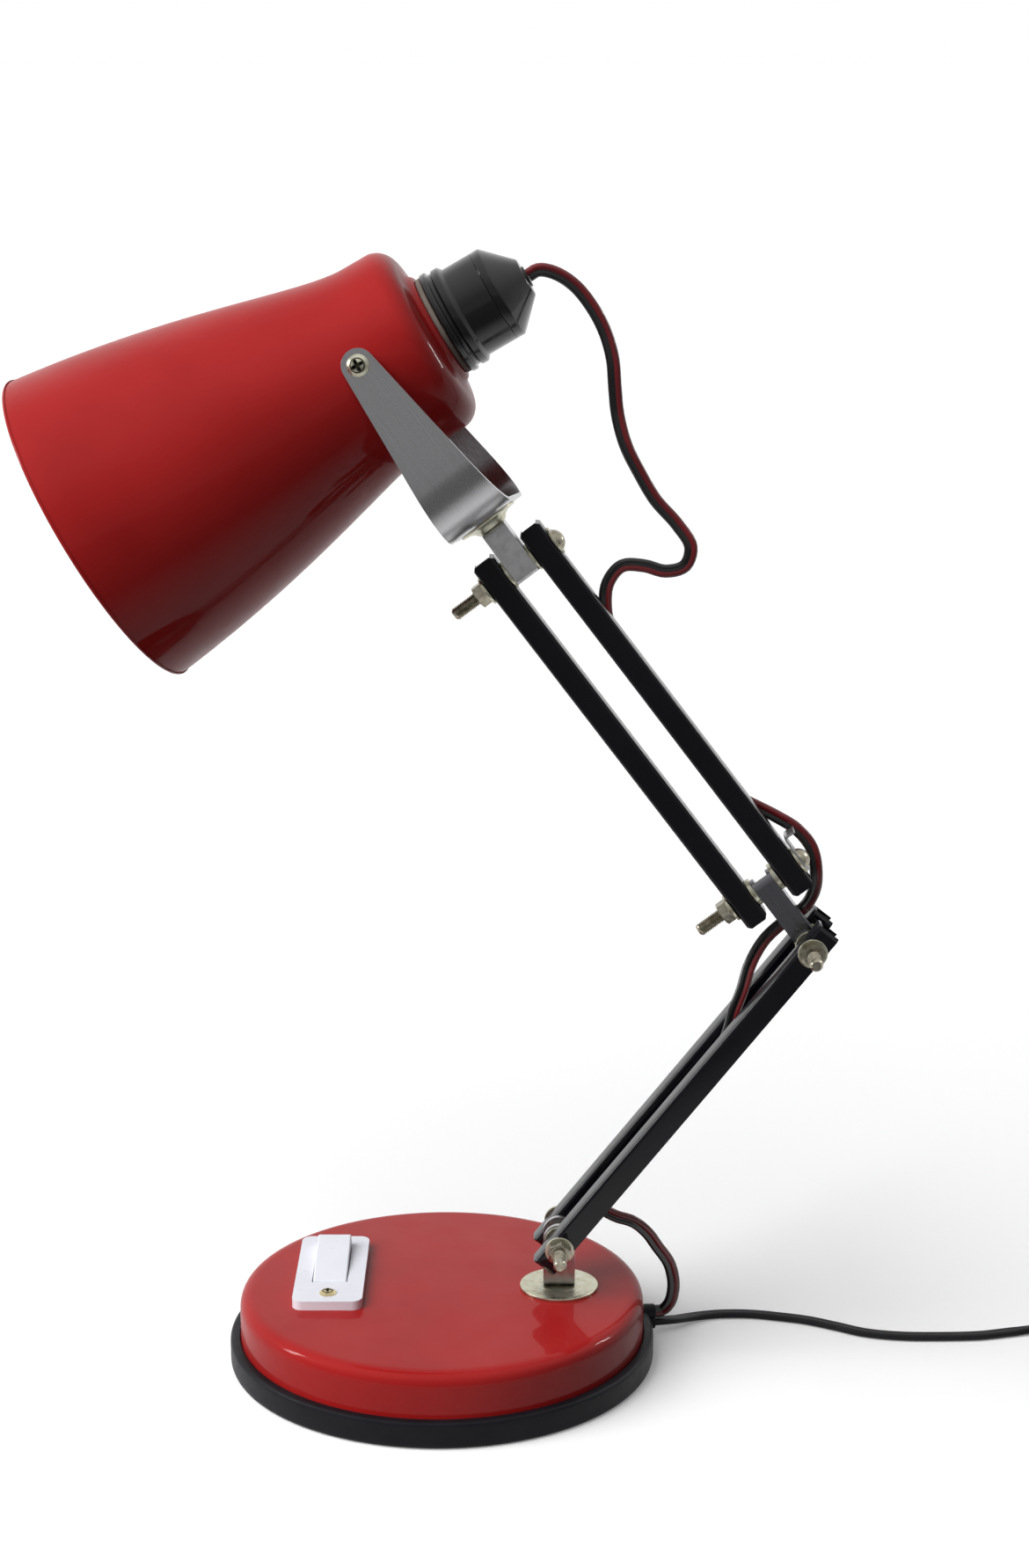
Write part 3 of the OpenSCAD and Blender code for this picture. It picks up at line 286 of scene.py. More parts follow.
def brushed(name, at, dark, light):
    """Rolled steel with its grain along the X axis of the frame at."""
    grain = (0.04, 8.0, 8.0)
    s = Surface(name).set(Metallic=1.0, Anisotropic=0.35)
    turn = s.node("ShaderNodeMapping")
    turn.inputs["Rotation"].default_value = at.to_3x3().inverted().to_euler()
    s.link(s.coords, turn.inputs["Vector"])
    s.coords = turn.outputs["Vector"]
    s.ramp(s.noise(1.0, 4, grain), [(0.25, dark), (0.75, light)])
    s.rough(s.noise(0.8, 5, grain), 0.2, 0.34)
    s.bump((s.noise(1.4, 3, grain), 0.002))
    return s.mat


def frosted():
    s = Surface("frosted_glass").set(Roughness=0.35, IOR=1.45, Subsurface_Weight=0.35,
                                     Transmission_Weight=0.15)
    s.ramp(s.noise(0.05, 3), [(0.3, (0.84, 0.84, 0.81)), (0.7, (0.90, 0.90, 0.87))])
    s.bump((s.noise(2.0, 2), 0.004))
    return s.mat


RED = enamel("red_enamel", (0.33, 0.010, 0.010), (0.37, 0.012, 0.012), (0.41, 0.015, 0.015))
WHITE_ENAMEL = enamel("white_enamel", (0.78, 0.77, 0.74), (0.82, 0.81, 0.79), (0.86, 0.85, 0.83),
                      0.35)
BLACK_ENAMEL = enamel("black_enamel", (0.002, 0.002, 0.003), (0.003, 0.003, 0.005),
                      (0.005, 0.005, 0.008), 0.35, 0.6)
BAKELITE = plastic("black_phenolic", (0.002, 0.002, 0.003), (0.004, 0.004, 0.004), 0.18, 0.003, 0.3)
RUBBER = plastic("charcoal_rubber", (0.005, 0.005, 0.007), (0.010, 0.010, 0.013), 0.45, 0.03,
                 gloss=0.14)
WHITE = plastic("white_plastic", (0.78, 0.79, 0.86), (0.84, 0.85, 0.91), 0.3, 0.003, 0.2)
FIBRE = plastic("grey_fibre", (0.16, 0.14, 0.12), (0.24, 0.21, 0.18), 0.75, 0.04)
CERAMIC = plastic("ivory_core", (0.70, 0.66, 0.56), (0.78, 0.75, 0.66), 0.35)
LEAD = plastic("black_lead", (0.006, 0.006, 0.007), (0.011, 0.011, 0.012), 0.42, 0.006, gloss=0.2)
CORE_RED = plastic("red_core", (0.11, 0.006, 0.009), (0.17, 0.010, 0.013), 0.22, 0.004, 0.3)
CORE_BLACK = plastic("black_core", (0.007, 0.007, 0.008), (0.013, 0.012, 0.012), 0.22, 0.004, 0.3)
ZINC = plated("zinc_plate", (0.36, 0.36, 0.37), (0.52, 0.52, 0.53), 0.32)
ALLOY = plated("cast_alloy", (0.50, 0.50, 0.51), (0.64, 0.64, 0.65), 0.38)
YELLOW = plated("yellow_zinc", (0.36, 0.34, 0.23), (0.56, 0.54, 0.41), tint=(0.60, 0.61, 0.51))
BRASS = plated("brass", (0.50, 0.41, 0.20), (0.70, 0.60, 0.36), 0.28)
BOLT = plated("dull_zinc", (0.15, 0.13, 0.095), (0.34, 0.31, 0.24), 0.26, (0.44, 0.42, 0.34))
# painted shade: a dark metal for the inside of the screw heads' cross recesses, darkened as if in
# shadow
RECESS_SHADE = plated("screw_recess_shade", (0.05, 0.045, 0.035), (0.09, 0.08, 0.06), 0.5)
IRON = plastic("cast_iron", (0.03, 0.03, 0.03), (0.06, 0.06, 0.06), 0.7, 0.12)
STEEL = brushed("brushed_steel", HEAD, (0.42, 0.42, 0.43), (0.54, 0.53, 0.54))
FOLDED = brushed("folded_steel", UPPER, (0.17, 0.17, 0.19), (0.27, 0.27, 0.29))
GLASS = frosted()


# ---- mesh making
def scene_object(name, data):
    obj = bpy.data.objects.new(name, data)
    bpy.context.scene.collection.objects.link(obj)
    return obj


def mesh_of(bm, name="held"):
    """The mesh of a bmesh, which is used up."""
    mesh = bpy.data.meshes.new(name)
    bm.to_mesh(mesh)
    bm.free()
    return mesh


def moved(bm, m):
    bmesh.ops.transform(bm, matrix=m, verts=bm.verts)
    return bm


def piece(name, bm, material, at, body, nodes, sharp, bevel=0.0, steps=2):
    """One named mesh: bm is in millimetres in the frame at, and the mesh in metres in WORLD."""
    bmesh.ops.recalc_face_normals(bm, faces=bm.faces)
    bmesh.ops.scale(bm, vec=(MM,) * 3, verts=bm.verts)
    mesh = mesh_of(moved(bm, at), name)
    obj = scene_object(name, mesh)
    for m in material if isinstance(material, list) else [material]:
        mesh.materials.append(m)
    if bevel:
        made = obj.modifiers.new("edges", "BEVEL")
        made.width = bevel * MM
        made.segments = steps
        made.limit_method = "ANGLE"
        made.angle_limit = math.radians(sharp)
        made.harden_normals = True
    mesh.polygons.foreach_set("use_smooth", [True] * len(mesh.polygons))
    if not bevel:
        mesh.set_sharp_from_angle(angle=math.radians(sharp))
    if body:
        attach(obj, body)
    if nodes:
        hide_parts(*nodes)
    return obj


def rounded(points, radius, steps=4):
    """An open 2-D line whose corners are arcs; radius is one number, or one for each point."""
    radii = radius if isinstance(radius, (list, tuple)) else [radius] * len(points)
    out = [Vector(points[0])]
    for before, here, after, r in zip(points, points[1:], points[2:], radii[1:]):
        p, a, b = Vector(here), Vector(before) - Vector(here), Vector(after) - Vector(here)
        turn = math.pi - a.angle(b, math.pi)
        if r <= 0 or turn < 0.05:
            out.append(p)
            continue
        cut = min(r * math.tan(turn / 2), a.length * 0.49, b.length * 0.49)
        start, end = p + a.normalized() * cut, p + b.normalized() * cut
        for i in range(steps + 1):
            t = i / steps
            out.append(start * (1 - t) ** 2 + p * 2 * t * (1 - t) + end * t ** 2)
    out.append(Vector(points[-1]))
    return out


def lathe(profile, around=96, closed=False, parts=None):
    """Turns (radius, height) points about Z. parts gives a material number for each span."""
    bm = bmesh.new()
    turns = [2 * math.pi * i / around for i in range(around)]
    rings = [[bm.verts.new((r * math.cos(a), r * math.sin(a), z))
              for a in (turns if r > 1e-6 else turns[:1])] for r, z in profile]
    for n, (a, b) in enumerate(zip(rings, rings[1:] + (rings[:1] if closed else []))):
        for i in range(around):
            j = (i + 1) % around
            # a ring on the axis has one corner only
            corners = (a[i % len(a)], b[i % len(b)], b[j % len(b)], a[j % len(a)])
            face = bm.faces.new(list(dict.fromkeys(corners)))
            if parts:
                face.material_index = parts[n]
    return bm


def prism(outline, low, high):
    """A 2-D outline pushed from z = low to z = high."""
    bm = bmesh.new()
    a, b = ([bm.verts.new((x, y, z)) for x, y in outline] for z in (low, high))
    bm.faces.new(a[::-1])
    bm.faces.new(b)
    for i in range(len(a)):
        j = (i + 1) % len(a)
        bm.faces.new((a[i], a[j], b[j], b[i]))
    return bm


def tube(bm, rings, materials=None):
    """Quads from ring to ring, with both ends closed. materials gives a number for each side."""
    n = len(rings[0])
    for a, b in zip(rings, rings[1:]):
        for i in range(n):
            face = bm.faces.new((a[i], a[(i + 1) % n], b[(i + 1) % n], b[i]))
            if materials:
                face.material_index = materials[i]
    bm.faces.new(rings[0][::-1])
    bm.faces.new(rings[-1])
    return bm


def join(*meshes):
    """Several bmeshes, each (bm, matrix in mm or None), in one."""
    out = bmesh.new()
    for bm, m in meshes:
        held = mesh_of(bm if m is None else moved(bm, m))
        out.from_mesh(held)
        bpy.data.meshes.remove(held)
    return out


def box_outline(w, l, r):
    """A rectangle with rounded corners, centred."""
    out = []
    for cx, cy, a0 in ((1, 1, 0), (-1, 1, 90), (-1, -1, 180), (1, -1, 270)):
        for i in range(7):
            x, y = polar(r, a0 + 15 * i)
            out.append((cx * (w / 2 - r) + x, cy * (l / 2 - r) + y))
    return out


def ribbon(line, widths, thick):
    """Sheet metal bent along a 2-D line in local XZ, its width along local Y."""
    bm = bmesh.new()
    rows = []
    for i, p in enumerate(line):
        ahead = line[min(i + 1, len(line) - 1)] - line[max(i - 1, 0)]
        normal = Vector((-ahead.y, ahead.x)).normalized() * thick / 2
        half = max(widths[i] / 2, 0.02)
        rows.append([bm.verts.new((q.x, side * half, q.y)) for q, side in (
            (p - normal, -1), (p + normal, -1), (p + normal, 1), (p - normal, 1))])
    return tube(bm, rows)


def ring_profile(inner, outer, low, high, edge=0.15):
    return [(inner, low), (outer - edge, low), (outer, low + edge), (outer, high - edge),
            (outer - edge, high), (inner, high)]


def nut(flats, bore, height):
    """A hexagon nut whose corners are cut by the usual cone."""
    bm = bmesh.new()
    rings = []
    for a in range(0, 360, 5):
        corner = flats / 2 / math.cos(math.radians((a + 30) % 60 - 30))
        cut = max(0.0, corner - flats * 0.49) * 0.6
        flat = flats * 0.47
        column = [(bore, 0), (flat, 0), (corner, cut), (corner, height - cut), (flat, height),
                  (bore, height)]
        rings.append([bm.verts.new((*polar(r, a), z)) for r, z in column])
    for a, b in zip(rings, rings[1:] + rings[:1]):
        for i in range(6):
            bm.faces.new((a[i], b[i], b[(i + 1) % 6], a[(i + 1) % 6]))
    return bm


def carve(bm, cutter):
    """bm with the cutter, another bmesh, taken out of it. Both are used up."""
    held = []
    for made, name in ((bm, "carved"), (cutter, "cutter")):
        bmesh.ops.recalc_face_normals(made, faces=made.faces)
        held.append(scene_object(name, mesh_of(made)))
    a, b = held
    cut = a.modifiers.new("cut", "BOOLEAN")
    cut.operation, cut.solver, cut.object = "DIFFERENCE", "EXACT", b
    bpy.context.view_layer.update()
    done = bpy.data.meshes.new_from_object(
        a.evaluated_get(bpy.context.evaluated_depsgraph_get()))
    out = bmesh.new()
    out.from_mesh(done)
    meshes = (a.data, b.data, done)
    for o in held:
        bpy.data.objects.remove(o)
    for m in meshes:
        bpy.data.meshes.remove(m)
    return out


def cross_cut(bm, low_z, top_z, arm, width):
    """Cuts a cross recess into a screw head's top: each arm tapers to the bottom."""
    for turn in (0, 90):
        cutter = bmesh.new()
        rings = [[cutter.verts.new((x * arm * along, y * width * across, z))
                  for x, y in ((-1, -1), (1, -1), (1, 1), (-1, 1))]
                 for along, across, z in ((0.45, 0.8, low_z), (1, 1, top_z + 0.5))]
        bm = carve(bm, moved(tube(cutter, rings), turned(WORLD, turn, "Z")))
    return bm


def pan_head(r, h, base, shaft_r, low):
    """A domed screw head with a cross recess, whose faces get material 1, painted dark as the shade
    in the recess.
    """
    profile = [(0, low), (shaft_r, low), (shaft_r, base), (r, base), (r, base + 0.3)]
    profile += dome_profile(r, h - 0.3, base + 0.3)[1:]
    bm = cross_cut(lathe(profile, 48), base + h * 0.15, base + h, r * 0.64, r * 0.17)
    # the walls and floor of the recess take material 1, the painted shade
    for face in bm.faces:
        middle = face.calc_center_median()
        far, up = middle.xy.length / r, middle.z - base
        if up > 0.1 and ((far < 0.66 and up < h * 0.8 and face.normal.z < 0.98)
                         or (far < 0.6 and up < h * 0.3)):
            face.material_index = 1
    return bm


def dome_profile(r, h, base=0.0, steps=8):
    """From the rim of a domed head up to its middle."""
    ball = (r * r + h * h) / (2 * h)
    top = math.degrees(math.asin(r / ball))
    arc = (polar(ball, top * (1 - i / steps)) for i in range(steps + 1))
    return [(out, base + h - ball + up) for up, out in arc]


def thread_profile(r, low, high):
    """The side of a threaded shaft, from low to high."""
    out, z = [(r - 0.25, low)], low
    while z + THREAD_PITCH < high - 0.8:
        out += [(r - THREAD_DEPTH, z + 0.1), (r, z + THREAD_PITCH * 0.45),
                (r, z + THREAD_PITCH * 0.6)]
        z += THREAD_PITCH
    return out + [(r - 0.3, high - 0.5), (r - 0.8, high), (0, high)]


# ---- camera
CAMERA_AT = (31.0 * MM, -1043.8 * MM, 494.8 * MM)
CAMERA_PITCH, CAMERA_TURN, CAMERA_LENS, CAMERA_SENSOR, CAMERA_FAR = 14.38, 0.17, 67.2, 36.0, 50.0
data = bpy.data.cameras.new("photo_camera")
data.sensor_width, data.sensor_fit, data.lens = CAMERA_SENSOR, "AUTO", CAMERA_LENS
data.clip_end = CAMERA_FAR
camera = scene_object("photo_camera", data)
camera.location = CAMERA_AT
camera.rotation_euler = (math.radians(90 - CAMERA_PITCH), 0, math.radians(CAMERA_TURN))
bpy.context.scene.camera = camera


# ---- cords
def smooth_line(points, step):
    """A Catmull-Rom line through the points, as (point, control position) samples."""
    p = [Vector(q) for q in points]
    p = [p[0] * 2 - p[1]] + p + [p[-1] * 2 - p[-2]]
    out = []
    for i in range(1, len(p) - 2):
        n = max(2, round((p[i + 1] - p[i]).length / step))
        # centripetal spacing keeps the line from looping at uneven points
        t = [0.0]
        for a, b in zip(p[i - 1:i + 3], p[i:i + 3]):
            t.append(t[-1] + max((b - a).length, 1e-6) ** 0.5)
        for k in range(n):
            u = t[1] + (t[2] - t[1]) * k / n
            a1 = p[i - 1].lerp(p[i], (u - t[0]) / (t[1] - t[0]))
            a2 = p[i].lerp(p[i + 1], (u - t[1]) / (t[2] - t[1]))
            a3 = p[i + 1].lerp(p[i + 2], (u - t[2]) / (t[3] - t[2]))
            b1 = a1.lerp(a2, (u - t[0]) / (t[2] - t[0]))
            b2 = a2.lerp(a3, (u - t[1]) / (t[3] - t[1]))
            out.append((b1.lerp(b2, (u - t[1]) / (t[2] - t[1])), i - 1 + k / n))
    out.append((p[-2], float(len(points) - 1)))
    return out


def twin_section(width, height, sides=9):
    """Two round cores side by side: (across, up, core number), in order round the outside."""
    out = []
    r = height / 2
    c = width / 2 - r
    waist = math.degrees(math.acos(min(1.0, 0.86 * c / r))) if c < r else 20.0
    for core, middle, facing in ((0, c, 0), (1, -c, 180)):
        for i in range(sides):
            x, y = polar(r, facing + (180 - waist) * (2 * i / (sides - 1) - 1))
            out.append((middle + x, y, core))
    return out


def flat_tube(line, section, ref, rolls=None):
    """A tube swept along the line; the section's own first axis lies across ref."""
    bm = bmesh.new()
    rings = []
    for i, p in enumerate(line):
        t = (line[min(i + 1, len(line) - 1)] - line[max(i - 1, 0)]).normalized()
        s = t.cross(ref).normalized()
        u = s.cross(t)
        c, d = polar(1.0, rolls[i] if rolls else 0.0)
        rings.append([bm.verts.new(p + s * (x * c - y * d) + u * (x * d + y * c))
                      for x, y, _ in section])
    return tube(bm, rings, [core for _, _, core in section])


def cap_exit(out):
    """A point on the lampholder's axis, out millimetres past its cap."""
    return (SHADE @ Vector((0, 0, (CAP_S - COLLAR_L - FACE_GAP - out) * MM))) / MM


exit_dir = Vector((*polar(1.0, EXIT_ANGLE), 0))
exit_out = exit_dir * (COVER_R + BOOT_OUT)
flex_end = exit_out + Vector((0, 0, FLEX_Z))

FLEX_ROUTE = [cap_exit(0), cap_exit(4), (42, 12, 412.3), (49, 12, 408), (55, 12, 401),
    (60, 12, 392), (63, 11, 382), (64, 11, 371), (65, 11, 362), (68, 10, 351),
    (73, 10, 341), (79, 10, 331), (87, 10, 322), (92, 9, 314), (90, 9, 307),
    (83, 9, 305), (75, 9, 307), (67, 8.5, 307), (62, 8, 301), (61, 7, 293),
    (62.5, 4.5, 285), (66, 2, 279), (70.3, 1.2, 273),
    (104.2, 1.2, 228), (107.5, 2.5, 224), (111, 6, 220.5), (117, 8, 217), (125, 7.5, 213),
    (133, 7, 208), (138.5, 7, 201), (140.5, 7, 192), (140, 7.8, 184), (136.5, 8.3, 177.5),
    (130, 8.5, 172.5), (122, 8, 165), (116.5, 5.5, 156), (113.5, 2, 147), (110.6, 0.5, 139.5),
    (106.8, 0, 127), (76, 0, 88),
    (69.5, 0, 79.5), (64, 0.2, 72), (60.6, 0.8, 64.8), (61.6, 1.3, 59.4), (66.5, 2.1, 55.8),
    (73.5, 3.3, 52.9), (79, 5, 47.6), (83, 6.8, 41.2), (87.6, 9, 33.6),
    (89.6, 11.2, 25.4), (89.6, 14.2, 18.2), (88.3, 16.6, 12.8), flex_end + exit_dir * 3, flex_end]
# Each stretch: its node, its first and last point, and the bodies that it runs between
FLEX_PARTS = [("flex_shade", 0, 7, "shade", "yoke"), ("flex_yoke", 7, 11, "yoke", "head"),
    ("flex_head", 11, 22, "head", "upper_arm"), ("flex_upper", 22, 23, "upper_arm", None),
    ("flex_swing", 23, 32, "upper_arm", "elbow"), ("flex_elbow", 32, 38, "elbow", "lower_arm"),
    ("flex_lower", 38, 39, "lower_arm", None), ("flex_post", 39, 47, "lower_arm", "swivel"),
    ("flex_base", 47, 53, "swivel", "base")]
flex_line = smooth_line(FLEX_ROUTE, 1.5)
flex_section = twin_section(CORD_W, FLEX_H)
for node, first, last, a, b in FLEX_PARTS:
    line = [p for p, at in flex_line if first - 1e-6 <= at <= last + 1e-6]
    obj = piece(node + "_twin", flat_tube(line, flex_section, Y_AXIS), [CORE_RED, CORE_BLACK],
                WORLD, None, [node], 60)
    if b:
        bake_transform(obj)
    else:
        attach(obj, a)

LEAD_ROUTE = [exit_out + Vector((0, 0, LEAD_Z)),
    (87, 18.8, 4.8), (91, 21.3, 4), (95, 25, 2.9), (100, 28.8, 1.9), (106.5, 31.5, 1.4),
    (115, 32.3, 1.4), (123, 31.8, 1.4), (131, 30, 1.4), (143, 26.5, 1.4), (154, 21, 1.4),
    (165, 15, 1.4), (178, 12, 1.4), (194, 11.5, 1.4), (210, 12.5, 1.4), (224, 16, 1.4),
    (238, 19, 1.6), (250, 20, 2.1)]
COIL_CENTRE = (266, 20 - COIL_R)
ROLL_FROM = 15
coil_half = COIL_TURNS / 2
coil_in = COIL_R - COIL_PITCH * coil_half


def coil_point(n):
    """Inwards for half of the turns, then up and outwards for the rest."""
    u = abs(n - coil_half)
    r = coil_in + COIL_PITCH * u
    if u < 0.5:
        r = coil_in - COIL_DIP + (COIL_DIP + COIL_PITCH / 2) * max(0.0, (u - 0.25) / 0.25)
    z = COIL_Z + COIL_RISE * min(1.0, max(0.0, (n - coil_half + 0.25) / 0.5))
    x, y = polar(r, 90 - 360 * n)
    return Vector((COIL_CENTRE[0] + x, COIL_CENTRE[1] + y, z))


coil_end = coil_point(COIL_TURNS)
tail_end = Vector((coil_end.x, coil_end.y - TAIL_L, TAIL_Z))
coil_points = [coil_point(0) - Vector((CORD_W, 0, 0))]
coil_points += [coil_point(i / COIL_STEPS) for i in range(round(COIL_TURNS * COIL_STEPS) + 1)]
coil_points += [coil_end - Vector((0, n * CORD_W, drop))
                for n, drop in ((1, 0), (2, 0), (3, (coil_end.z - TAIL_Z) / 2))]
coil_points += [tail_end + Vector((0, CORD_W, 0)), tail_end]
samples = smooth_line(LEAD_ROUTE + coil_points, 2.2)
lead_line = [p for p, _ in samples]
roll_length = len(LEAD_ROUTE) - ROLL_FROM
lead_rolls = [90 * min(1.0, max(0.0, (at - ROLL_FROM) / roll_length)) for _, at in samples]
for p, roll in zip(lead_line, lead_rolls):
    p.z = max(p.z, LEAD_H / 2 + (CORD_W - LEAD_H) / 2 * math.sin(math.radians(roll)))
PLUG = turned(Matrix.Translation(tail_end * MM), 90, "X")


def plug_shape():
    """A flat two-pole plug: a collar that swells into a waisted, rounded grip."""
    bm = bmesh.new()
    # each row is a height, half the width and half the thickness there
    rows = [(0, 3.1, 2.5), (3, 3.5, 2.9), (3.4, 3.1, 2.5), (5.4, 3.3, 2.7), (5.8, 3.9, 3.2),
            (8, 4.2, 3.4), (8.4, 3.6, 2.9), (10.6, 3.8, 3.1), (11, 4.7, 3.7), (13.4, 5.0, 4.0),
            (16, 5.4, 4.4), (18, 8.2, 5.6), (22, 11.2, 6.3), (28, 14.2, 6.6), (34, 16.3, 6.65),
            (40, 17.3, 6.65), (47, 17.4, 6.6), (50.6, 17.1, 6.5), (51.7, 16.3, 5.9),
            (52, 15.4, 5.2)]
    around, rings = 48, []
    for z, w, h in rows:
        square = 2.0 + 3.0 * min(1.0, max(0.0, (z - RELIEF_L) / 10))
        ring = []
        for i in range(around):
            c, s = polar(1.0, 360 * i / around)
            ring.append(bm.verts.new((w * math.copysign(abs(c) ** (2 / square), c),
                                      h * math.copysign(abs(s) ** (2 / square), s), z)))
        rings.append(ring)
    return tube(bm, rings)


def pin_shape():
    sleeve_r = PIN_R * 0.94
    profile = rounded([(0, 0), (sleeve_r, 0), (sleeve_r, 10), (PIN_R, 10.1), (PIN_R, PIN_L - 1.6),
                       (PIN_R * 0.5, PIN_L), (0, PIN_L)], [0, 0, 0, 0, 1.2, 0.6, 0])
    parts = [0] * 3 + [1] * (len(profile) - 4)
    return join(*[(lathe(profile, 32, parts=parts),
                   Matrix.Translation((side * PIN_GAP / 2, 0, RELIEF_L + PLUG_L)))
                  for side in (-1, 1)])


plug = piece("plug_moulding", plug_shape(), LEAD, PLUG, "base", ["plug_body"], 40)
pins = piece("plug_pin_pair", pin_shape(), [LEAD, BRASS], PLUG, "base", ["plug_pins"], 35)
lead_section = twin_section(CORD_W, LEAD_H, 7)
lead = piece("mains_cord", flat_tube(lead_line, lead_section, Vector((0, 0, 1)), lead_rolls),
             [LEAD, LEAD], WORLD, "base", ["mains_lead", "mains_coil"], 60)


# ---- base
foot_line = [(0, 0)]
for r in (20, 44, 66):
    foot_line += [(r, 0), (r + 0.6, 0.7), (r + 2.4, 0.7), (r + 3, 0)]
foot_line += rounded([(0, 0), (30, 0), (FOOT_R, 0), (FOOT_R, FOOT_H), (COVER_R + 0.1, FOOT_H),
                      (COVER_R + 0.1, FOOT_H - 4)], [0, 0, 2.2, 2.0, 0.6, 0], 6)[2:]
piece("foot_rubber", lathe(foot_line, FINE), RUBBER, WORLD, "base", ["rubber_foot"], 30)

cover_line = rounded([(0, COVER_TOP), (COVER_R, COVER_TOP), (COVER_R, COVER_LOW + 1.0),
                      (COVER_R - 0.5, COVER_LOW), (COVER_R - COVER_T, COVER_LOW),
                      (COVER_R - COVER_T, COVER_TOP - 3)],
                     [0, COVER_EDGE + 1.0, 0.4, 0.3, 0.3, 0], 10)
piece("cover_enamel", lathe(cover_line, FINE), RED, WORLD, "base", ["base_cover"], 30)

seat_z, face_z = DISC_Z + DISC_H - 0.05, DISC_Z + DISC_H - 0.35
disc_line = rounded([(BOLT_R, seat_z), (8, seat_z), (9.2, face_z), (DISC_R - 1.2, face_z),
                     (DISC_R, DISC_Z + 1.1), (DISC_R, DISC_Z), (BOLT_R, DISC_Z)],
                    [0, 0.5, 0.5, 0.7, 0.4, 0.1, 0], 4)
piece("disc_plate", lathe(disc_line), YELLOW, POST, "swivel", ["swivel_disc"], 30)


def fork_shape():
    """The post bracket, along its middle line from one ear's top to the other's."""
    half, low = BLOCK_W / 2 - FORK_T / 2, DISC_Z + DISC_H + FORK_T / 2
    line, widths = [], []
    for i in range(11):
        up, out = polar(EAR_R, 9 * i)
        line.append(Vector((-half, PIVOT_Z + up)))
        widths.append(2 * out)
    for i in range(7):
        x, y = polar(FORK_BEND, 15 * i)
        line.append(Vector((FORK_BEND - half - x, low + FORK_BEND - y)))
        widths.append(2 * EAR_R)
    return ribbon(line + [Vector((-p.x, p.y)) for p in reversed(line)], widths + widths[::-1],
                  FORK_T)


piece("post_fork", fork_shape(), ZINC, turned(POST, 90, "Z"), "swivel", ["post_bracket"],
      40, 0.25)
stud_line = [(BOLT_R, 20)] + dome_profile(STUD_HEAD_R, STUD_HEAD_H, DISC_Z + DISC_H + FORK_T)
piece("stud_button", lathe(stud_line, 40), YELLOW, POST, "swivel", ["swivel_stud"],
      40)


# ---- switch
def switch_body():
    well = prism(box_outline(ROCKER_W + WELL_GAP, 2 * ROCKER_R + WELL_GAP, WELL_ROUND), WELL_LOW,
                 SWITCH_H + 1)
    return carve(prism(box_outline(SWITCH_W, SWITCH_L, SWITCH_ROUND), 0.0, SWITCH_H),
                 moved(well, Matrix.Translation((0, ROCKER_Y, 0))))


def rocker_shape():
    near = math.degrees(math.asin((SWITCH_H - ROCKER_Z) / ROCKER_R))
    side = [polar(ROCKER_R, 180 - near)]
    side += [polar(ROCKER_R, ROCKER_FAR - (ROCKER_FAR + ROCKER_LOW) * i / 8) for i in range(9)]
    side += [(ROCKER_R * 0.6, -4), (-ROCKER_R * 0.6, -4), (-ROCKER_R, -1.7)]
    return prism(side, -ROCKER_W / 2, ROCKER_W / 2)


piece("switch_housing", switch_body(), WHITE, SWITCH, "base", ["switch_plate"],
      35, 0.9, 4)
on_side = Matrix(((0, 0, 1, 0), (1, 0, 0, 0), (0, 1, 0, 0), (0, 0, 0, 1)))
piece("rocker_cap", rocker_shape(), WHITE, shifted(SWITCH, 0, ROCKER_Y, ROCKER_Z) @ on_side,
      "rocker", ["switch_rocker"], 35, 0.6, 3)
screw = pan_head(SWITCH_HEAD_R, SWITCH_HEAD_H, SWITCH_H, SWITCH_SHAFT_R, -4)
piece("switch_screw_head", screw, [BRASS, RECESS_SHADE], shifted(SWITCH, 0, SWITCH_SCREW_Y), "base",
      ["switch_screw"], 35)


def boot_shape():
    """Two short rubber sleeves, each with a lip against the cover and a rounded tip."""
    x, end, lip = COVER_R + 0.4, COVER_R + BOOT_OUT, BOOT_ROOT + 0.7
    profile = rounded([(0, COVER_R - 5), (2.8, COVER_R - 5), (2.8, x), (lip, x), (lip, x + 1.6),
                       (BOOT_ROOT, x + 2.1), (BOOT_TIP, end), (2.3, end), (2.3, end - 0.4),
                       (0, end - 0.4)], [0, 0, 0, 0.3, 0.5, 0.5, 0.5, 0.1, 0.1, 0], 4)
    return join(*[(lathe(profile, 40), turned(Matrix.Translation((0, 0, z)), 90, "Y"))
                  for z in (LEAD_Z, FLEX_Z)])


piece("boot_pair", boot_shape(), RUBBER, turned(WORLD, EXIT_ANGLE, "Z"), "base", ["cable_boot"],
      40)


# ---- arms
def bar_shape():
    """A folded channel along X, open to +Y, with the flat sides' corners cut at its ends."""
    half, inner, corner = BAR / 2, BAR / 2 - BAR_WALL, 1.4
    side = rounded([(half, -half), (-half, -half), (-half, half), (half, half)], BAR_ROUND, 5)
    back = rounded([(half, inner), (-inner, inner), (-inner, -inner), (half, -inner)], 0.5, 3)
    section = side + back
    bm = bmesh.new()
    rings = []
    for end, x0 in ((1, -BAR_END), (-1, ARM + BAR_END)):
        rings.append([bm.verts.new((x0 + end * max(0.0, abs(z) - half + corner), y, z))
                      for y, z in section])
    a, b = rings
    n, m = len(section), len(side)
    for i in range(n):
        bm.faces.new((a[i], a[(i + 1) % n], b[(i + 1) % n], b[i]))
    for ring, flip in ((a, False), (b, True)):
        outer, inside = ring[:m], ring[m:][::-1]
        i = j = 0
        while i < m - 1 or j < len(inside) - 1:
            if j >= len(inside) - 1 or (i < m - 1 and i / (m - 1) <= j / (len(inside) - 1)):
                face = (outer[i], outer[i + 1], inside[j])
                i += 1
            else:
                face = (outer[i], inside[j + 1], inside[j])
                j += 1
            bm.faces.new(face if flip else face[::-1])
    return bm


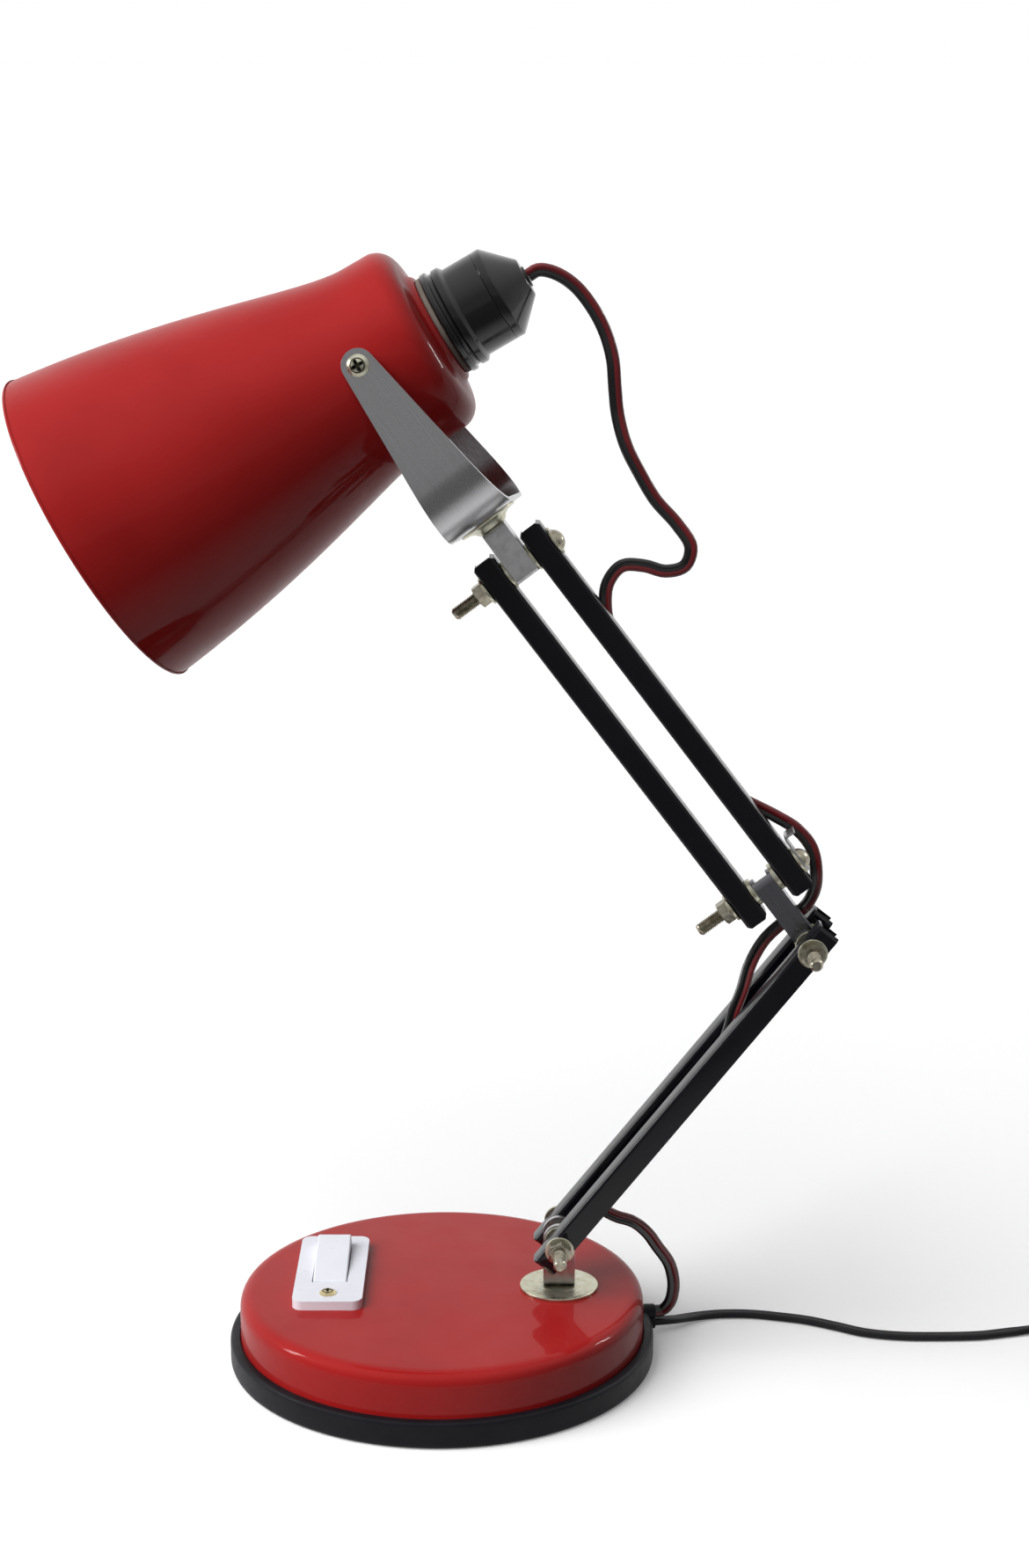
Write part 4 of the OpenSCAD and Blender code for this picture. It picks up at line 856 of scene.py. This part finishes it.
# a lower bar's closed side faces up and to the left
for node, at, body in (
        ("lower_bar_front", turned(shifted(LOWER, 0, -BAR_PITCH / 2), -90, "X"), "lower_arm"),
        ("lower_bar_rear", turned(shifted(LOWER, 0, BAR_PITCH / 2), -90, "X"), "lower_arm"),
        ("upper_bar_left", shifted(UPPER, ELBOW, 0, BAR_PITCH / 2), "upper_arm"),
        ("upper_bar_right", shifted(UPPER, ELBOW, 0, -BAR_PITCH / 2), "upper_arm")):
    piece(node + "_enamel", bar_shape(), BLACK_ENAMEL, at, body, [node], 40)


def bolt_shape(pack):
    low, high = -OUTER - pack, OUTER + WASHER_T + BOLT_PAST
    head = [(r, -z) for r, z in reversed(dome_profile(HEAD_R, HEAD_H, -low, 10))]
    thread = thread_profile(BOLT_R, OUTER + WASHER_T + NUT_H * 0.4, high)
    return lathe(head + [(BOLT_R, low), (BOLT_R, OUTER + WASHER_T)] + thread, 40)


def bolt_set(name, at, body, between, pack=WASHER_T, nodes=((), (), ())):
    """A bolt, its nut and its washers; the inner two fill the room beside a piece between the
    bars. nodes are the CAD nodes that the bolt, the washers and the nut stand for."""
    inner = (BAR_PITCH - BAR - between) / 2 - FACE_GAP
    rings = [(lathe(ring_profile(BOLT_R + RUN_GAP, WASHER_R, z, z + t), 48, True), None)
             for z, t in ((-OUTER - WASHER_T, WASHER_T), (-between / 2 - FACE_GAP - inner, inner),
                          (between / 2 + FACE_GAP, inner), (OUTER, WASHER_T))]
    piece(name + "_bolt", bolt_shape(pack), BOLT, at, body, nodes[0], 28)
    piece(name + "_washers", join(*rings), YELLOW, at, body, nodes[1], 30)
    piece(name + "_nut", nut(NUT_FLATS, BOLT_R, NUT_H), BOLT,
          shifted(at, 0, 0, OUTER + WASHER_T), body, nodes[2], 25)


# the first bolt of each arm stands for the nodes of both
lower_nodes, upper_nodes = ([[arm + kind] for kind in ("_bolts", "_washers", "_nuts")]
                            for arm in ("lower", "upper"))
bolt_set("post", turned(LOWER, 90, "X"), "lower_arm", BLOCK_W, nodes=lower_nodes)
bolt_set("knee", turned(shifted(LOWER, ARM), 90, "X"), "lower_arm", ELBOW_W)
bolt_set("crown", shifted(UPPER, ELBOW + ARM), "upper_arm", BLOCK_W, nodes=upper_nodes)
bolt_set("shin", shifted(UPPER, ELBOW), "upper_arm", ELBOW_W, WASHER_T + TAB_T)


def tab_shape():
    """The tab under a bolt's head: one end is rounded, and the other is bent to hold the flex."""
    r = TAB_W / 2
    bent = rounded([(-TAB_BACK, 0), (TAB_L - 0.4, 0), (TAB_L - 0.4, -TAB_LIP)], 1.4, 5)[1:]
    line = [Vector((-TAB_BACK + 0.6 * i, 0.0)) for i in range(6)] + bent
    widths = [2 * math.sqrt(r ** 2 - (r - min(r, 0.6 * i + 0.5)) ** 2) for i in range(6)]
    return ribbon([p + Vector((0, TAB_T / 2)) for p in line], widths + [TAB_W] * len(bent), TAB_T)


piece("tab_plate", tab_shape(), ZINC, shifted(UPPER, ELBOW, 0, -OUTER - WASHER_T - TAB_T),
      "upper_arm", ["flex_tab"], 35, 0.15)


# ---- elbow bracket
def bracket_shape():
    """A folded channel: its web faces -Y, its two sides run to the upper pivot."""
    half, inner = ELBOW_W / 2, ELBOW_W / 2 - ELBOW_T
    fold, past = half + 2, 20.0
    arc = [polar(half, a) for a in range(-90, 91, 10)]
    bore = [polar(BOLT_R + RUN_GAP, a) for a in range(0, 360, 15)]
    body = prism([(-half, half), (-half, -half)] + [(ELBOW + x, y) for x, y in arc], -half, half)
    hollow = [(-past, -inner), (3 * past, -inner), (3 * past, past), (fold, past), (fold, inner),
              (-past, inner)]
    body = carve(body, prism(hollow, -inner, inner))
    # the lower end is round about the lower pivot, which lies along Y
    lip = [(0.0, past), (-past, past), (-past, -past), (0.0, -past)] + [(-x, y) for x, y in arc]
    for outline in (lip, bore):
        body = carve(body, moved(prism(outline, -past, past), turned(WORLD, 90, "X")))
    return carve(body, prism([(ELBOW + x, y) for x, y in bore], -past, past))


piece("elbow_channel", bracket_shape(), FOLDED, UPPER, "elbow", ["elbow_bracket"],
      35, 0.3, 3)


# ---- head block, yoke
block_line = [(x + (BLOCK_TOP - BLOCK_END) / 2, y)
              for x, y in box_outline(BLOCK_TOP + BLOCK_END, BLOCK_W, BLOCK_ROUND)]
piece("block_alloy_piece", prism(block_line, -BLOCK_W / 2, BLOCK_W / 2), ALLOY, HEAD, "head",
      ["head_block"], 40, 0.35, 3)
dish_hole = RIVET_R + RUN_GAP
dish_line = [(dish_hole, 0), (5.4, 0), (5.9, 0.4), (6.8, 1.5), (8.4, 2.3), (10.4, 2.6),
             (DISH_R - 0.2, 2.7), (DISH_R, 2.9), (DISH_R, DISH_H - 0.2), (DISH_R - 0.2, DISH_H),
             (dish_hole, DISH_H)]
piece("dish_plate", lathe(dish_line, 72, True), YELLOW,
      turned(shifted(HEAD, BLOCK_TOP), 90, "Y"), "head", ["dished_washer"],
      30)
rivet_line = [(RIVET_R, BLOCK_TOP)]
rivet_line += dome_profile(RIVET_HEAD_R, RIVET_HEAD_H, YOKE_SEAT + YOKE_T + FACE_GAP)
piece("rivet_head", lathe(rivet_line, 48), YELLOW, turned(HEAD, 90, "Y"), "head",
      ["yoke_rivet"], 40)


def yoke_shape():
    """The strap's middle line goes from one tip round the base to the other."""
    tip, mid = YOKE_TIP / 2, YOKE_T / 2
    bend, half = YOKE_BEND - mid, YOKE_OUT - mid
    taper = math.atan((YOKE_BASE / 2 - tip) / YOKE_LEN)

    def width(x):
        if x > YOKE_LEN + tip * math.sin(taper):
            return 2 * math.sqrt(max(0.0, tip ** 2 - (x - YOKE_LEN) ** 2))
        return 2 * (tip * math.cos(taper)
                    + (YOKE_LEN + tip * math.sin(taper) - x) * math.tan(taper))

    side = [Vector((YOKE_LEN + polar(tip, a)[1], half)) for a in range(90, 4, -6)]
    side += [Vector((x, half)) for x in (66, 60, 52, 44, 36, 28)]
    for a in range(0, 91, 5):
        y, x = polar(bend, a)
        side.append(Vector((YOKE_BEND - x, half - bend + y)))
    side += [Vector((mid, y)) for y in (14, 8)]
    line = [Vector((p.x, -p.y)) for p in side] + side[::-1]
    return ribbon(line, [width(p.x) for p in line], YOKE_T)


yoke_at = turned(shifted(HEAD, YOKE_SEAT), 90, "X")
piece("yoke_strap", yoke_shape(), STEEL, yoke_at, "yoke", ["yoke"], 50, 0.45, 3)


# ---- shade
def on_shade(name, bm, material, nodes, sharp):
    piece(name, bm, material, SHADE, "shade", nodes, sharp)


def bezier(a, b, c, d, t):
    return a * (1 - t) ** 3 + 3 * b * t * (1 - t) ** 2 + 3 * c * t * t * (1 - t) + d * t ** 3


def shade_side(inset):
    """From the mouth back to the holder's hole."""
    out = []
    for i in range(40, -1, -1):
        t = i / 40
        out.append((bezier(NECK_R, NECK_R, MOUTH_R - MOUTH_DROP, MOUTH_R, t) - inset,
                    bezier(WAIST_S, WAIST_S + NECK_PULL, FRONT - MOUTH_PULL, FRONT, t)))
    for i in range(1, 11):
        x, s = polar(SHOULDER_R - inset, -86 * i / 10)
        out.append((NECK_R - SHOULDER_R + x, SHOULDER_S + s))
    end = inset - BACK
    out += [(BACK_FLAT_R + 1.6, end + 2.1), (BACK_FLAT_R + 0.4, end + 1.2),
            (BACK_FLAT_R - 0.4, end + 0.3), (BACK_FLAT_R - 1.0, end), (HOLE_R, end)]
    return out


def shade_shape():
    outer, inner = shade_side(0.0), shade_side(SHADE_T)[::-1]
    bead = [(MOUTH_R - SHADE_T / 2 + x, FRONT + s)
            for x, s in (polar(BEAD_R, a) for a in range(205, -26, -15))]
    parts = [0] * len(outer) + [1] * (len(inner) + 3) + [0] * len(bead)
    return lathe(outer + inner + bead, FINE, True, parts)


on_shade("shade_enamel", shade_shape(), [RED, WHITE_ENAMEL], ["shade", "shade_back"],
         45)

heads, spacers, nuts = [], [], []
for angle in (-90, 90):
    m = turned(WORLD, angle, "X")
    heads.append((pan_head(SHADE_HEAD_R, SHADE_HEAD_H, YOKE_OUT + FACE_GAP, SHADE_SHAFT_R,
                           NUT_SEAT - SHADE_SHAFT_PAST), m))
    spacers.append((lathe(ring_profile(SHADE_SHAFT_R, SPACER_R, SPACER_SEAT,
                                       YOKE_GAP / 2 - FACE_GAP), 48, True), m))
    nuts.append((nut(SHADE_NUT_FLATS, SHADE_SHAFT_R, SHADE_NUT_H),
                 m @ Matrix.Translation((0, 0, NUT_SEAT - SHADE_NUT_H))))
on_shade("shade_screw_pair", join(*heads), [YELLOW, RECESS_SHADE], ["shade_screws"], 35)
on_shade("shade_spacer_pair", join(*spacers), ZINC, ["shade_washers"], 30)
on_shade("shade_nut_pair", join(*nuts), YELLOW, ["shade_nuts"], 25)

# ---- lampholder, bulb
gasket_line = ring_profile(HOLE_R - 0.2, GASKET_R, GASKET_S, -BACK, 0.4)
on_shade("gasket_fibre", lathe(gasket_line, 96, True), FIBRE, ["gasket_ring"], 30)
body_in = BULB_CAP_R + 1
body_line = rounded([(body_in, -13), (HOLE_R - 0.2, -13), (HOLE_R - 0.2, GASKET_S),
                     (FLANGE_R, GASKET_S), (FLANGE_R, GASKET_S - 2.4),
                     (FLANGE_R - 1.3, GASKET_S - 2.8), (FLANGE_R - 1.3, GASKET_S - 4.0),
                     (FLANGE_R - 0.6, GASKET_S - 4.6), (FLANGE_R - 0.6, GASKET_S - 7.0),
                     (HOLDER_R, GASKET_S - 8.4), (HOLDER_R, JOINT_S), (body_in, JOINT_S)],
                    [0, 0.4, 0, 0.7, 0.6, 0.3, 0.3, 0.5, 0.7, 0.5, 0.35, 0], 4)
on_shade("holder_moulding", lathe(body_line), BAKELITE, ["holder_body"], 30)
cap_line = rounded([(HOLDER_R - 1.2, JOINT_S), (HOLDER_R, JOINT_S), (HOLDER_R, JOINT_S - 3.0),
                    (CAP_TIP_R, CAP_S), (COLLAR_R, CAP_S), (COLLAR_R, CAP_S - COLLAR_L),
                    (0, CAP_S - COLLAR_L)], [0, 0.4, 1.2, 1.2, 0.3, 0.3, 0], 5)
on_shade("cap_moulding", lathe(cap_line), BAKELITE, ["holder_cap"], 30)


def shade_ring_shape():
    """The ring nut inside the shade, with grips round its edge."""
    low = SHADE_T - BACK + FACE_GAP
    bm = lathe([(HOLE_R, low), (FLANGE_R, low), (FLANGE_R, low + RING_H - 0.4),
                (FLANGE_R - 0.5, low + RING_H), (HOLE_R, low + RING_H)], 120, True)
    for v in bm.verts:
        if v.co.xy.length > FLANGE_R - 0.3 and v.co.z > low + 1:
            if math.degrees(math.atan2(v.co.y, v.co.x)) % GRIP_EVERY < GRIP_WIDE:
                v.co.xy *= GRIP_DEPTH
    return bm


on_shade("ring_moulding", shade_ring_shape(), BAKELITE, ["shade_ring"], 30)
bulb_line = [(12.4, NECK_S), (BULB_CAP_R - 0.3, NECK_S), (BULB_CAP_R - 0.2, NECK_S + 5),
             (14.6, NECK_S + 12), (18.6, NECK_S + 20), (23.5, NECK_S + 28)]
bulb_line += [(r, BULB_S + s) for r, s in (polar(BULB_R, a) for a in range(-26, 85, 5))]
on_shade("bulb_frosted", lathe(bulb_line + [(0, BULB_S + BULB_R)], 72), GLASS, ["bulb_glass"],
         60)


# ---- nodes kept as they are
for node, material in (("base_weight", IRON), ("bottom_plate", ZINC), ("plate_screws", ZINC),
                       ("swivel_washer", ZINC), ("swivel_nut", YELLOW), ("holder_core", CERAMIC),
                       ("threaded_shell", BRASS), ("bulb_cap", ZINC)):
    slots = frame["nodes"][node].data.materials
    slots.clear()
    slots.append(material)


# ---- floor and light
# lengths here are in metres
FLOOR_HALF, FLOOR_Z, FLOOR_BOUNCE, FLOOR_GLOW = 60.0, -0.0002, 0.08, 0.2
# each is (from, to, least, most): how the white that metal shows grows with a direction or place
FLOOR_FRONT = (-0.45, -0.1, 0.08, 1.0)
BACKDROP = (-0.3, 0.7, 0.28, 1.0)
CEILING = (0.15, 0.9, 0.0, 1.0)
ROOM_COLOUR, ROOM_LIGHT = (0.95, 0.96, 1.0, 1), 0.12
SUN_TOWARDS, SUN_STRENGTH, SUN_ANGLE = (0.85, 0.54, -1.0), 3.75, 60
WINDOW_AIM = (0, 0, 0.05)


def shown_white(tree, mirrored):
    """How much of the white background shows: all to the camera, the given part in metal."""
    path = tree.nodes.new("ShaderNodeLightPath").outputs
    bounced = math_node(tree, "MAXIMUM", path["Is Glossy Ray"], path["Is Transmission Ray"])
    return math_node(tree, "MAXIMUM", path["Is Camera Ray"],
                     math_node(tree, "MULTIPLY", bounced, mirrored))


def studio_floor():
    bm = bmesh.new()
    bmesh.ops.create_grid(bm, x_segments=1, y_segments=1, size=FLOOR_HALF)
    obj = scene_object("floor", mesh_of(bm, "floor"))
    obj.location.z = FLOOR_Z
    s = Surface("pale_floor").set(Roughness=0.7, Specular_IOR_Level=0.1,
                                  Emission_Color=(1, 1, 1, 1))
    paper = s.ramp(s.noise(0.002, 2), [(0.3, (0.86,) * 3), (0.7, (0.90,) * 3)], None)
    # the floor in front of the lamp mirrors darker, as it does where the white paper ends
    across = s.node("ShaderNodeSeparateXYZ")
    s.link(s.coords, across.inputs[0])
    seen = shown_white(s.tree, range_node(s.tree, across.outputs["Y"], *FLOOR_FRONT))
    shown = s.node("ShaderNodeMix", data_type="RGBA")
    shown.inputs["A"].default_value = (*[FLOOR_BOUNCE] * 3, 1)
    s.link(seen, shown.inputs["Factor"])
    s.link(paper, shown.inputs["B"])
    s.link(shown.outputs["Result"], s.shader.inputs["Base Color"])
    s.link(math_node(s.tree, "MULTIPLY", seen, FLOOR_GLOW), s.shader.inputs["Emission Strength"])
    obj.data.materials.append(s.mat)


def lamp(kind, name, towards, strength):
    light = bpy.data.lights.new(name, kind)
    light.energy = strength
    obj = scene_object(name, light)
    obj.rotation_euler = Vector(towards).to_track_quat("-Z", "Y").to_euler()
    return obj, light


def window(name, at, size, power):
    """A small bright panel that only shows as a highlight, and doesn't light matt surfaces."""
    obj, light = lamp("AREA", name, Vector(WINDOW_AIM) - Vector(at), power)
    light.shape, light.size, light.size_y = "RECTANGLE", *size
    obj.location = at
    obj.visible_diffuse = False


def studio_world():
    """Even dim light on the lamp, which mirrors a white backdrop and ceiling and a dimmer room."""
    world = bpy.data.worlds.new("studio")
    bpy.context.scene.world = world
    world.use_nodes = True
    tree = world.node_tree
    dim = tree.nodes["Background"]
    dim.inputs["Color"].default_value = ROOM_COLOUR
    dim.inputs["Strength"].default_value = ROOM_LIGHT
    white = tree.nodes.new("ShaderNodeBackground")
    white.inputs["Color"].default_value = (1, 1, 1, 1)
    direction = tree.nodes.new("ShaderNodeSeparateXYZ")
    tree.links.new(tree.nodes.new("ShaderNodeTexCoord").outputs["Generated"], direction.inputs[0])
    behind = range_node(tree, direction.outputs["Y"], *BACKDROP)
    above = range_node(tree, direction.outputs["Z"], *CEILING)
    mixed = tree.nodes.new("ShaderNodeMixShader")
    for source, socket in zip((shown_white(tree, math_node(tree, "MAXIMUM", behind, above)),
                               dim.outputs[0], white.outputs[0]), mixed.inputs):
        tree.links.new(source, socket)
    tree.links.new(mixed.outputs[0], tree.nodes["World Output"].inputs["Surface"])


studio_floor()
sky, sky_light = lamp("SUN", "sky_light", SUN_TOWARDS, SUN_STRENGTH)
sky_light.angle = math.radians(SUN_ANGLE)
sky.visible_glossy = False
window("window_left", (-1.25, 0.05, 0.7), (0.18, 0.45), 6.0)
window("window_right", (1.1, 0.45, 0.75), (0.12, 0.3), 3.0)
studio_world()
bpy.context.scene.view_settings.view_transform = "Standard"
